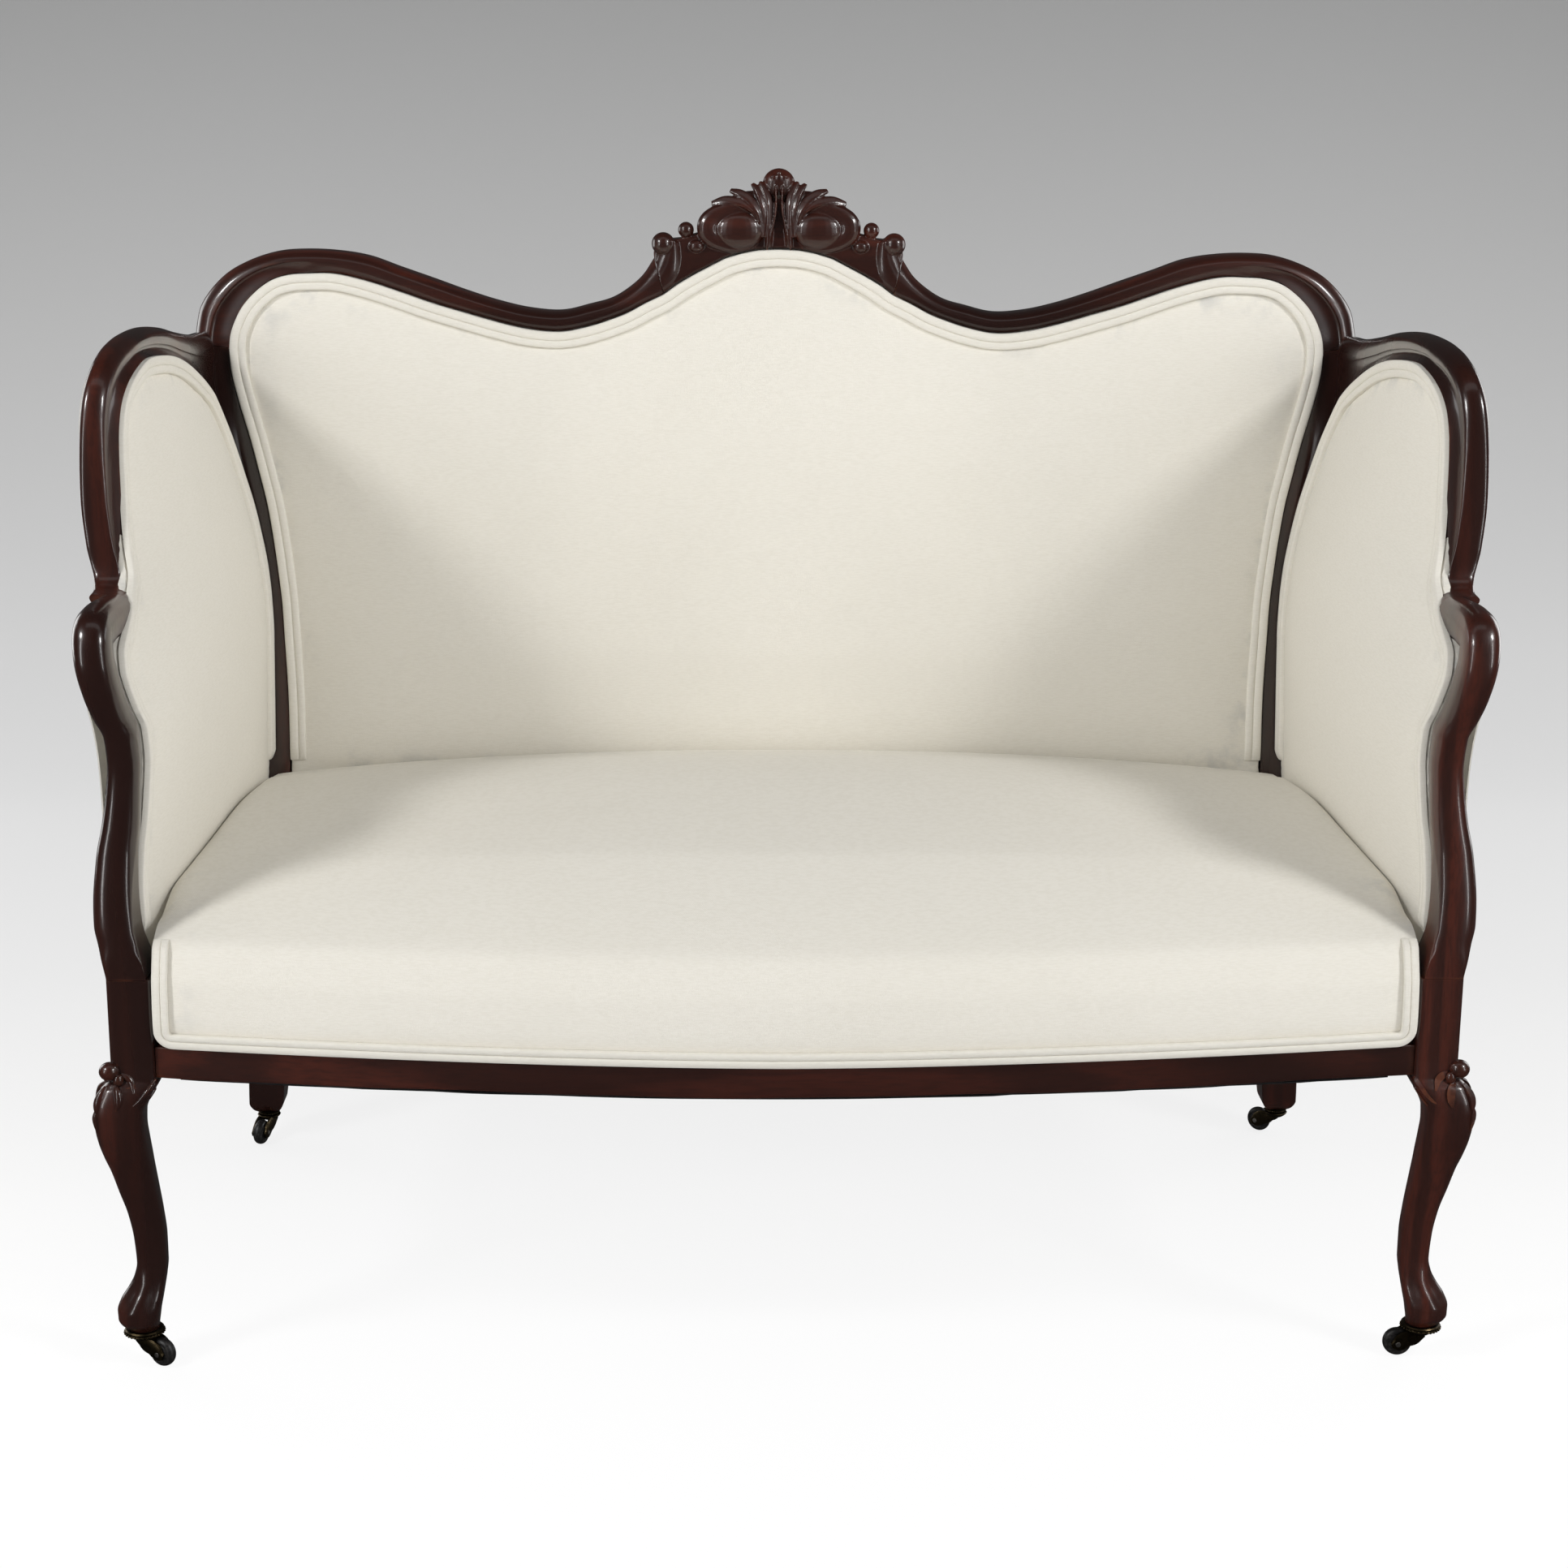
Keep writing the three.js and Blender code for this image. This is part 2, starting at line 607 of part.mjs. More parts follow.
// Seat rails
function makeFrontRail() {
  return ringBody(bowStations.map((share) => {
    const x = share * railHalf;
    const y = railFront(x);
    const back = y + railThickness;
    const step = railBottom + showWood;
    return [
      [y, railBottom], [y, step], [y + railRebate, step], [y + railRebate, railTop], [back, railTop],
      [back, railBottom],
    ].map(([a, b]) => new THREE.Vector3(x, a, b));
  }));
}

const sideRailHalf = railThickness / 2;
function makeSideRail(side) {
  const start = halfBlock + seam;
  const end = backDepth - seam;
  const section = [[1, railBottom], [1, railTop], [-1, railTop], [-1, railBottom]];
  return ringBody([start, end].map((y) => section.map(([out, z]) => (
    new THREE.Vector3(side * (sideMiddle(y, railBottom) + out * sideRailHalf), y, z)
  ))));
}

function postInnerAt(z) {
  return backHalfWidth * valueAt(postShares, z / overallHeight, 2);
}

function makeRailBetweenPosts(low, high, near, far) {
  const end = (side, z) => side * (postInnerAt(z) - seam);
  return ringBody([-1, 1].map((side) => [[near, low], [near, high], [far, high], [far, low]].map(
    ([offset, z]) => new THREE.Vector3(end(side, z), backFront(z) + offset, z),
  )));
}

function makeSideTackingRail(side) {
  const low = tackingRailBottom;
  const high = tackingRailBottom + tackingRailHeight;
  const section = [[low, tackingRailGap], [high, tackingRailGap], [high, halfSide], [low, halfSide]];
  const beside = armInner.filter(([, z]) => z > low - legBlock && z < high + legBlock).map(([y]) => y);
  const place = onSide(side);
  return ringBody([Math.max(...beside) + seam, backDepth - seam].map((y) => (
    section.map(([z, offset]) => place(y, z, offset))
  )));
}

// Triangular glue blocks in the corners of the seat frame
function makeFrontBlock(side) {
  const innerSide = (y) => sideMiddle(y, railBottom) - sideRailHalf - seam;
  const innerFront = (x) => railFront(x) + railThickness + seam;
  const corner = halfBlock + seam;
  const reach = railHalf - cornerBlockLeg;
  const outline = [
    [innerSide(corner), corner], [innerSide(corner + cornerBlockLeg), corner + cornerBlockLeg],
    [reach, innerFront(reach)], [railHalf - seam, innerFront(railHalf)],
  ];
  return planPrism(mirrored(outline, side), cornerBlockBottom, cornerBlockBottom + cornerBlockHeight);
}

function makeRearBlock(side) {
  const innerSide = (y) => sideMiddle(y, railBottom) - sideRailHalf - seam;
  const back = backDepth - seam;
  const inner = postInnerAt(railTop);
  const outline = [
    [innerSide(back), back], [innerSide(back - cornerBlockLeg), back - cornerBlockLeg],
    [inner - cornerBlockLeg, back + rearRailSetBack], [inner - seam, back + rearRailSetBack],
    [inner - seam, back],
  ];
  return planPrism(mirrored(outline, side), cornerBlockBottom, cornerBlockBottom + cornerBlockHeight);
}

// Outline in plan of a sheet that covers the seat frame, set in from its outer faces
function seatPlan(frontGap, endGap, sideGap, rearReach) {
  const front = bowStations.map((share) => {
    const x = share * (railHalf - endGap);
    return [x, railFront(x) + frontGap];
  });
  const startSide = halfBlock + endGap;
  const sideX = (y) => sideMiddle(y, railBottom) + sideRailHalf - sideGap;
  const rearX = postInnerAt(railTop) - endGap;
  const endSide = backDepth - endGap;
  const right = [
    [railHalf - endGap, startSide], [sideX(startSide), startSide], [sideX(endSide), endSide],
    [rearX, endSide], [rearX, backDepth + rearReach],
  ];
  return [...front, ...right, ...mirrored(right, -1).reverse()];
}

const webbingTop = railBottom - seam;
const clothTop = webbingTop - webbingThickness - seam;
const hessianTop = railTop + seam + clothThickness;
const padFloor = hessianTop + seam;

function makeWebbing() {
  const low = webbingTop - webbingThickness;
  const strips = [];
  const half = webbingWidth / 2;
  const columns = Math.floor((railHalf - webbingPitch) / webbingPitch);
  for (let c = -columns; c <= columns; c += 1) {
    const x = c * webbingPitch;
    const front = railFront(x) + railThickness - webbingLap;
    const back = backDepth + rearRailSetBack + webbingLap;
    const strip = [[x - half, front], [x + half, front], [x + half, back], [x - half, back]];
    strips.push(planPrism(strip, low, webbingTop));
  }
  for (let r = 0; r < 2 * springRows - 1; r += 1) {
    const y = springFirstRow + r * (springRowPitch / 2);
    const reach = sideMiddle(y + half, railBottom) - sideRailHalf + webbingLap;
    const strip = [[-reach, y - half], [reach, y - half], [reach, y + half], [-reach, y + half]];
    strips.push(planPrism(strip, low + seam, webbingTop - seam));
  }
  return joined(strips);
}

// Double cone spring, standing on the webbing and reaching up to the hessian
function makeSpring(x, y) {
  const radius = springWire / 2;
  const low = webbingTop + seam + radius;
  const high = railTop - radius;
  const count = Math.round(springTurns * springSteps);
  const points = Array.from({ length: count + 1 }, (_, i) => {
    const share = i / count;
    const angle = share * springTurns * Math.PI * 2;
    const waist = Math.abs(2 * share - 1);
    const reach = THREE.MathUtils.lerp(springWaistDiameter, springEndDiameter, waist) / 2 - radius;
    const z = THREE.MathUtils.lerp(low, high, share);
    return new THREE.Vector3(x + reach * Math.cos(angle), y + reach * Math.sin(angle), z);
  });
  return wireBody(points, radius, springSides);
}

// Padded panel: flat behind, a level margin for the piping, then a crown rising to the centre
function panelBody(outline, centre, place, edge, back, crown, grow = 0) {
  const margin = inset(outline, pipingWidth + 5 * seam);
  const ring = (flat, offset) => flat.map(([a, b]) => place(a, b, offset));
  const drawn = (share) => margin.map(([a, b]) => [
    THREE.MathUtils.lerp(a, centre[0], share), THREE.MathUtils.lerp(b, centre[1], share),
  ]);
  const edgeLine = inset(outline, -grow);
  return ringBody([
    [place(centre[0], centre[1], back)], ring(drawn(backRingShare), back),
    ring(edgeLine, back), ring(edgeLine, -edge - grow), ring(margin, -edge - grow),
    ...crownShares.map(([share, rise]) => ring(drawn(share), -edge - rise * crown - grow)),
    [place(centre[0], centre[1], -edge - crown - grow)],
  ]);
}

const backPadOutline = (() => {
  const right = [
    ...postInner.filter(([, z]) => z > backPadBottom), ...topRailInner.slice(1), ...[...crestLower],
  ];
  const foot = [postInnerAt(backPadBottom), backPadBottom];
  const half = [foot, ...right];
  return inset([...half, crestMiddle, ...mirrored(half, -1).reverse()], 2 * seam);
})();
const backCentre = [0, backCentreShare * overallHeight];

function makeBackPad(grow = 0) {
  return panelBody(backPadOutline, backCentre, onBack, 0, padDepth, backCrown, grow);
}

const sidePadOutline = (() => {
  const rearTop = wingInner[wingInner.length - 1];
  const low = padFloor - seam;
  const rear = rearLevels(rearTop[1], low).slice(1).map((z) => [backFront(Math.max(z, rakeHeight)), z]);
  const front = [[halfBlock, low], [halfBlock, legTop], ...armInner.slice(1)];
  const outline = [...front, ...wingInner.slice(1), ...rear];
  return inset(outline, seam);
})();
const sideCentre = [sideCentreShares[0] * sideDepth, sideCentreShares[1] * overallHeight];

function makeSidePad(side, grow = 0, back = 0) {
  return panelBody(sidePadOutline, sideCentre, onSide(side), padDepth, back, sideCrown, grow);
}

// Double piping that lies on the margin of a panel and runs round it above the seat
function panelPiping(outline, place, edge, keep, grow = 0) {
  const lifted = (a, b, height) => place(a, b, -edge - 2 * seam - height * (1 + grow / pipingHeight));
  const outer = inset(outline, seam - grow);
  const inner = inset(outline, seam + pipingWidth + grow);
  const kept = outline.map((p, i) => i).filter((i) => keep(outline[i]));
  const jump = kept.findIndex((i, k) => k > 0 && i !== kept[k - 1] + 1);
  const order = jump > 0 ? [...kept.slice(jump), ...kept.slice(0, jump)] : kept;
  const [outerRun, innerRun] = [outer, inner].map((line) => order.map((i) => line[i]));
  return bandBody(outerRun, innerRun, pipingProfileShares, pipingHeight, lifted);
}

function makeSidePiping(side, grow = 0) {
  const keep = ([y, z]) => z > (y < backDepth / 2 ? sidePipingFoot : rearPipingFoot);
  return panelPiping(sidePadOutline, onSide(side), padDepth, keep, grow);
}

function makeBackPiping(grow = 0) {
  return panelPiping(backPadOutline, onBack, 0, ([, z]) => z > backPipingFoot, grow);
}

// Thin cover stretched over the outside of the frame, slightly domed
function coverBody(outline, centre, place, near, bulge) {
  const drawn = (share) => outline.map(([a, b]) => [
    THREE.MathUtils.lerp(a, centre[0], share), THREE.MathUtils.lerp(b, centre[1], share),
  ]);
  const ring = (share, offset) => drawn(share).map(([a, b]) => place(a, b, offset));
  const face = (offset) => coverCrownShares.map(([share, rise]) => ring(share, offset + rise * bulge));
  const tip = (offset) => [place(centre[0], centre[1], offset + bulge)];
  return ringBody([
    tip(near + coverThickness), ...face(near + coverThickness).reverse(), ring(0, near + coverThickness),
    ring(0, near), ...face(near), tip(near),
  ]);
}

// Outline of the outside back cover, lapped over the frame
const outsideBackOutline = (() => {
  const upper = inset(backPadOutline, -coverLap).filter(([, z], i) => z > rakeHeight && i % 2 === 0);
  const low = railBottom + showWood;
  const levels = [railTop, low].map((z) => [postInnerAt(z) + coverLap, z]);
  return [...upper, ...mirrored(levels, -1), ...levels.reverse()];
})();

function makeOutsideBack() {
  const near = backFrameThickness + 2 * seam;
  return coverBody(outsideBackOutline, backCentre, onBack, near, backCoverBulge);
}

// Outline of the outside side cover, from the seat rail up over the side of the wing
const outsideSideOutline = (() => {
  const low = railBottom + showWood;
  const edge = [...wingOuter, [backDepth, low], [halfBlock, low]];
  const wing = inset(edge, coverLap).slice(coverWingStart, wingSteps);
  const rear = rearLevels(wing[wing.length - 1][1], low)
    .map((z) => [backFront(Math.max(z, rakeHeight)) - 2 * seam, z]);
  const front = armInner.slice(1).map(([y, z]) => [y + coverLap * Math.SQRT1_2, z - seam]);
  return [[halfBlock + 2 * seam, low], [halfBlock + 2 * seam, legTop], ...front, ...wing, ...rear];
})();

// The cover lies on a straight line from the seat rail to the arm, so it stands clear of the
// waisted arm support
function onCover(side) {
  const top = armTop;
  return (y, z, offset) => {
    const share = Math.min(Math.max((z - railBottom) / (top - railBottom), 0), 1);
    const ruled = THREE.MathUtils.lerp(sideMiddle(y, railBottom), sideMiddle(y, top), share);
    const middle = z < top ? Math.max(ruled, sideMiddle(y, z)) : sideMiddle(y, z);
    return new THREE.Vector3(side * (middle + offset), y, z);
  };
}

function makeOutsideSide(side) {
  const near = halfSide + coverStandOff;
  return coverBody(outsideSideOutline, sideCentre, onCover(side), near, sideCoverBulge);
}

// Front face of the seat upholstery: distance in front of the rail line at a height
const apronLow = railBottom + showWood + seam;
const apronHigh = padFloor + seatCrownHeight * seatLineShares[0][1];
function seatFace(x, z) {
  const share = (z - apronLow) / (apronHigh - apronLow);
  return railFront(x) + seatFaceSwell * valueAt(seatFaceShares, share);
}

// Crowned seat in one piece with its front apron, cut to fit between the panels
function makeSeatPad() {
  const sideReach = (y) => Math.min(railHalf - seam, sideMiddle(y, legTop) - padDepth / 2);
  const rear = backDepth - seam;
  const raw = ringBody(bowStations.map((share) => {
    const atFront = share * (railHalf - seam);
    const shelf = railFront(atFront) + railRebate - seam;
    const point = (y, z) => new THREE.Vector3(share * sideReach(y), y, z);
    const face = seatFaceShares.map(([rise]) => {
      const z = THREE.MathUtils.lerp(apronLow, apronHigh, rise);
      return point(seatFace(atFront, z), z);
    });
    const top = seatLineShares.slice(1).map(([depth, height]) => {
      const across = 1 - Math.abs(share) ** seatCrownPower;
      const centre = seatCentreRise * across * Math.min(1, depth / seatRollShare);
      const y = THREE.MathUtils.lerp(railFront(atFront) + seatNose, rear, depth);
      return point(y, padFloor + seatCrownHeight * height + centre);
    });
    return [point(shelf, apronLow), ...face, ...top, point(rear, padFloor), point(shelf, padFloor)];
  }));
  const trims = [-1, 1].flatMap((side) => (
    [makeSidePad(side, 2 * seam, legBlock), makeSidePiping(side, seam)]
  ));
  return cut(raw, [...trims, makeBackPad(seam), makeBackPiping(seam)]);
}

// Seat piping: up beside one leg block, along the bowed front and up the other side
function makeSeatPiping() {
  const reach = railHalf - 2 * seam;
  const edge = (gap) => {
    const x = reach - gap;
    const low = apronLow + gap;
    const corner = pipingCorner - gap;
    const rises = seatFaceShares.slice(1).reverse();
    const upright = rises.map(([rise]) => THREE.MathUtils.lerp(apronLow, apronHigh, rise));
    const right = [...upright, low + corner].map((z) => [x, z]);
    for (let i = 1; i < cornerSteps; i += 1) {
      const angle = (i / cornerSteps) * (Math.PI / 2);
      right.push([x - corner * (1 - Math.cos(angle)), low + corner * (1 - Math.sin(angle))]);
    }
    const along = bowStations.map((share) => [-share * (railHalf - seam), low])
      .filter(([across]) => Math.abs(across) < reach - pipingCorner);
    const left = mirrored(right, -1).reverse();
    return [...right, ...along, ...left];
  };
  const place = (x, z, height) => new THREE.Vector3(x, seatFace(x, z) - seam - height, z);
  return bandBody(edge(0), edge(pipingWidth), pipingProfileShares, pipingHeight, place);
}

// Castors: plate under the foot, horn that swivels on it, wheel and its axle pin
function turned(profile, sides) {
  const geometry = new THREE.LatheGeometry(profile.map(([r, z]) => new THREE.Vector2(r, z)), sides);
  geometry.rotateX(Math.PI / 2);
  geometry.deleteAttribute('uv');
  geometry.deleteAttribute('normal');
  return mergeVertices(geometry);
}

const stemRadius = stemDiameter / 2;
const axleRadius = axleDiameter / 2;
const wheelGap = wheelThickness / 2 + runningGap;
const cheekOuter = wheelGap + cheekThickness;

function makePlate(radius) {
  const hole = stemRadius + seam;
  const bead = plateThickness / 3;
  return turned([
    [hole, plateBottom], [radius - bead, plateBottom], [radius, plateBottom + bead],
    [radius, plateTop - bead], [radius - bead, plateTop], [hole, plateTop], [hole, plateBottom],
  ], castorSides);
}

function acrossWheel(profile, sides) {
  const body = turned(profile, sides);
  body.rotateX(Math.PI / 2);
  return body;
}

function makeHorn() {
  const top = plateBottom - seam;
  const low = top - hornHeadHeight;
  const head = turned([
    [0, low], [hornHeadRadius, low], [hornHeadRadius, top], [stemRadius, top], [stemRadius, plateTop - seam],
    [0, plateTop - seam],
  ], castorSides);
  const boss = axleRadius * hornBossShare;
  const cheekShape = new THREE.Shape([
    new THREE.Vector2(-stemRadius, top), new THREE.Vector2(-stemRadius, low),
    new THREE.Vector2(castorTrail - boss * Math.SQRT1_2, wheelCentre - boss * Math.SQRT1_2),
    new THREE.Vector2(castorTrail, wheelCentre - boss), new THREE.Vector2(castorTrail + boss, wheelCentre),
    new THREE.Vector2(castorTrail + boss * Math.SQRT1_2, wheelCentre + boss * Math.SQRT1_2),
    new THREE.Vector2(stemRadius, top),
  ]);
  const cheeks = [-1, 1].map((side) => {
    const cheek = new THREE.ExtrudeGeometry(cheekShape, { depth: cheekThickness, bevelEnabled: false });
    cheek.rotateX(Math.PI / 2);
    cheek.translate(0, side > 0 ? cheekOuter : -wheelGap, 0);
    return cheek;
  });
  const bridge = new THREE.BoxGeometry(2 * stemRadius, 2 * cheekOuter, hornHeadHeight / 2);
  bridge.translate(0, 0, top - hornHeadHeight / 4);
  const bore = acrossWheel([
    [0, -cheekOuter - runningGap], [axleRadius + seam, -cheekOuter - runningGap],
    [axleRadius + seam, cheekOuter + runningGap], [0, cheekOuter + runningGap],
  ], castorSides);
  bore.translate(castorTrail, 0, wheelCentre);
  return cut(joined([head, bridge, ...cheeks]), [bore]);
}

function makeWheel() {
  const bore = axleRadius + seam;
  const radius = wheelDiameter / 2;
  const half = wheelThickness / 2;
  const wheel = acrossWheel([
    [bore, -half], [radius * wheelShoulderShare, -half], [radius, -half * wheelTreadShare],
    [radius, half * wheelTreadShare], [radius * wheelShoulderShare, half], [bore, half], [bore, -half],
  ], wheelSides);
  return wheel.rotateY(wheelSideAngle);
}

function makeAxle() {
  const head = cheekOuter + seam;
  const headRadius = axleRadius + 2 * seam + runningGap / 2;
  return acrossWheel([
    [0, -head - runningGap], [headRadius, -head - runningGap], [headRadius, -head], [axleRadius, -head],
    [axleRadius, head], [headRadius, head], [headRadius, head + runningGap], [0, head + runningGap],
  ], castorSides / 2);
}

// Assembly
const sofa = new THREE.Group();

function add(name, geometry, material) {
  const mesh = new THREE.Mesh(geometry, material);
  mesh.name = name;
  mesh.geometry.computeVertexNormals();
  sofa.add(mesh);
  return mesh;
}

const sides = { left: -1, right: 1 };
Object.entries(sides).forEach(([name, side]) => {
  add(`leg_front_${name}`, makeFrontLeg(side), mahogany);
  add(`arm_support_${name}`, makeArmSupport(side), mahogany);
  add(`wing_rail_${name}`, makeWingRail(side), mahogany);
  add(`back_post_${name}`, makeBackPost(side), mahogany);
  add(`top_rail_${name}`, makeTopRail(side), mahogany);
  add(`side_seat_rail_${name}`, makeSideRail(side), mahogany);
  add(`side_tacking_rail_${name}`, makeSideTackingRail(side), beech);
  add(`corner_block_front_${name}`, makeFrontBlock(side), beech);
  add(`corner_block_rear_${name}`, makeRearBlock(side), beech);
  add(`side_pad_${name}`, makeSidePad(side), ivory);
  add(`side_piping_${name}`, makeSidePiping(side), ivory);
  add(`outside_side_cover_${name}`, makeOutsideSide(side), ivory);
});

add('crest_carving', makeCrest(), mahogany);
add('front_seat_rail', makeFrontRail(), mahogany);
const rearRailFar = rearRailSetBack + railThickness - railRebate;
add('rear_seat_rail', makeRailBetweenPosts(railBottom, railTop, rearRailSetBack, rearRailFar), mahogany);
const tackingTop = tackingRailBottom + tackingRailHeight;
const tackingNear = padDepth + seam;
const tackingFar = tackingNear + halfBack;
add('back_tacking_rail', makeRailBetweenPosts(tackingRailBottom, tackingTop, tackingNear, tackingFar), beech);
add('seat_webbing', makeWebbing(), jute);
const hessianOutline = seatPlan(railRebate + seam, 2 * seam, railThickness / 2, rearRailSetBack);
add('seat_hessian', planPrism(hessianOutline, railTop + seam, hessianTop), jute);
const clothOutline = seatPlan(railRebate, legBlock / 2, railRebate, rearRailSetBack + railRebate);
add('bottoming_cloth', planPrism(clothOutline, clothTop - clothThickness, clothTop), blackCloth);
add('seat_pad', makeSeatPad(), ivory);
add('seat_piping', makeSeatPiping(), ivory);
add('back_pad', makeBackPad(), ivory);
add('back_piping', makeBackPiping(), ivory);
add('outside_back_cover', makeOutsideBack(), ivory);

// Springs in two rows under the seat
for (let row = 0; row < springRows; row += 1) {
  for (let column = 0; column < springColumns; column += 1) {
    const x = (column - (springColumns - 1) / 2) * springColumnPitch;
    const y = springFirstRow + row * springRowPitch;
    add(`seat_spring_${row * springColumns + column + 1}`, makeSpring(x, y), steel);
  }
}

// Castors, each trailing the way it was last rolled
Object.entries(castorAngles).forEach(([name, angle]) => {
  const side = name.endsWith('left') ? -1 : 1;
  const front = name.startsWith('front');
  const castor = new THREE.Group();
  castor.position.set(
    side * (front ? legAxisHalf + castorOffset : rearAxis.x), front ? -castorOffset : rearAxis.y, 0,
  );
  const turning = new THREE.Group();
  turning.rotation.z = THREE.MathUtils.degToRad(angle);
  castor.add(turning);
  const plateDiameter = front ? frontPlateDiameter : rearPlateDiameter;
  castor.add(add(`castor_plate_${name}`, makePlate(plateDiameter / 2), brass));
  turning.add(add(`castor_horn_${name}`, makeHorn(), brass));
  const wheel = add(`castor_wheel_${name}`, makeWheel(), composition);
  const axle = add(`castor_axle_${name}`, makeAxle(), steel);
  [wheel, axle].forEach((piece) => {
    piece.position.set(castorTrail, 0, wheelCentre);
    turning.add(piece);
  });
  sofa.add(castor);
});

// The sofa stands on the floor with the middle of its box over the origin
sofa.updateMatrixWorld(true);
const box = new THREE.Box3().setFromObject(sofa);
const middle = box.getCenter(new THREE.Vector3());
sofa.position.set(-middle.x, -middle.y, -box.min.z);
sofa.updateMatrixWorld(true);

export default sofa;
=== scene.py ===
import math

import bmesh
import bpy
import numpy as np
from mathutils import Matrix, Vector
from mathutils.bvhtree import BVHTree
from mathutils.geometry import delaunay_2d_cdt


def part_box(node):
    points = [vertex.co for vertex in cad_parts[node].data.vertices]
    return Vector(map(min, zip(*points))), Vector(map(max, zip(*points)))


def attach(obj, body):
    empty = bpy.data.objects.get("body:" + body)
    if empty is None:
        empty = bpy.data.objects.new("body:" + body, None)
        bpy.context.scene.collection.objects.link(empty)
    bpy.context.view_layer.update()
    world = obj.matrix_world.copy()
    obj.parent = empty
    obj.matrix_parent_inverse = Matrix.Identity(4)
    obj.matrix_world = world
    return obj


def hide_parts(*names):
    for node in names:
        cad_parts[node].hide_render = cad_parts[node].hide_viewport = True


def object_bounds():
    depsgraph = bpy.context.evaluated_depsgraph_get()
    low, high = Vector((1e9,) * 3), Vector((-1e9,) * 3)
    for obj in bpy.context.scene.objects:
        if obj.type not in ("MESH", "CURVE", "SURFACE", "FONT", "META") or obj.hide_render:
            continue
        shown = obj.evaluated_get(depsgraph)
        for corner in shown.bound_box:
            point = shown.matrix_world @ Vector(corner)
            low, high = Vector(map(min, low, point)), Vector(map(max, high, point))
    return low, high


bl_info = {
    "name": "Cabriole sofa",
    "version": (1, 0, 0),
    "blender": (4, 5, 0),
    "location": "3D view > Sidebar > Sofa",
    "description": "Builds the show wood, upholstery and castors of a small salon sofa",
    "category": "Add Mesh",
}

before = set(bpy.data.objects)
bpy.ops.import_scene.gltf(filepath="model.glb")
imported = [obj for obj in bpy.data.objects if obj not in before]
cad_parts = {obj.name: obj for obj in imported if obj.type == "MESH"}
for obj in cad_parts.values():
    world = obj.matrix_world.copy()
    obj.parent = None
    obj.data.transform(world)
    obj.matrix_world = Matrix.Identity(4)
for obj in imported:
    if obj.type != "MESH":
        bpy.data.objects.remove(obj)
cad_box = [list(corner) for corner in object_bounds()]
MM = 0.001
SIDES = {"left": -1, "right": 1}
CORNERS = [f"{end}_{name}" for end in ("front", "rear") for name in SIDES]

# Driving sizes of the frame in millimetres
overall_height = cad_box[1][2] / MM
back_half_width = 588
leg_axis = 566
back_depth = 490
back_rake = 0.12
rake_height = 400
rail_bottom = 271
show_wood = 28
rail_height = 74
rail_thickness = 30
rail_rebate = 10
front_bow = 54
front_bow_power = 1.6
rail_set_back = 5
leg_block = 38.6
block_rise = 16
arm_top = 679
wing_top = 884
side_frame_thickness = 30
back_frame_thickness = 36
rear_leg_sweep = 23
rear_leg_foot = 33
rear_leg_taper = 12
crest_thickness = 30
seam = 0.3

# Sizes of the upholstery in millimetres
seat_crown = 91
seat_centre_rise = 27
seat_nose = 6
seat_face_swell = 3
seat_crown_power = 2.2
seat_fit = 0.8
side_tuck = 7
rear_tuck = 9
back_crown = 20
side_crown = 16
pad_depth = 12
piping_width = 16
seat_piping_width = 13.5
cloth_thickness = 1.4
webbing_thickness = 2
back_pad_bottom = 402
side_piping_foot = 392
rear_piping_foot = 426
back_piping_foot = 424
piping_corner = 16
cover_lap = 8
cover_tautness = 0.75
cover_swell_share = 0.43

# Sizes of the castors in millimetres
wheel_diameter = 26.6
wheel_thickness = 10
castor_trail = 20
plate_thickness = 5
running_gap = 0.7
castor_angles = {"front_left": -30, "front_right": 176, "rear_left": -107, "rear_right": 139}

# Heights and half sizes that follow
rail_top = rail_bottom + rail_height
leg_top = rail_top + block_rise
half_block = leg_block / 2
half_side = side_frame_thickness / 2
half_back = back_frame_thickness / 2
rail_half = leg_axis - half_block - seam
pad_floor = rail_top + 2 * seam + cloth_thickness
webbing_top = rail_bottom - seam
depth_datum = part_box("side_seat_rail_left")[0].y / MM - half_block - seam

# Mid line of each side frame: share of height, share of the leg axis or of the back's half width
side_front_shares = np.array([
    [0.355, 1.0000], [0.362, 1.0020], [0.383, 1.0120], [0.398, 1.0180], [0.426, 1.0205],
    [0.455, 1.0190], [0.483, 1.0125], [0.511, 1.0075], [0.539, 1.0035], [0.560, 1.0040], [0.578, 1.0140], [0.594, 1.0205], [0.622, 1.0290],
    [0.649, 1.0360], [0.678, 1.0530], [0.707, 1.0640], [0.747, 1.0690], [0.806, 1.0690], [0.855, 1.0610],
])
side_rear_shares = np.array([
    [0.295, 0.903], [0.546, 0.903], [0.579, 0.906], [0.611, 0.912], [0.643, 0.922], [0.675, 0.934],
    [0.706, 0.947], [0.739, 0.959], [0.771, 0.969], [0.803, 0.974], [0.843, 0.974],
])

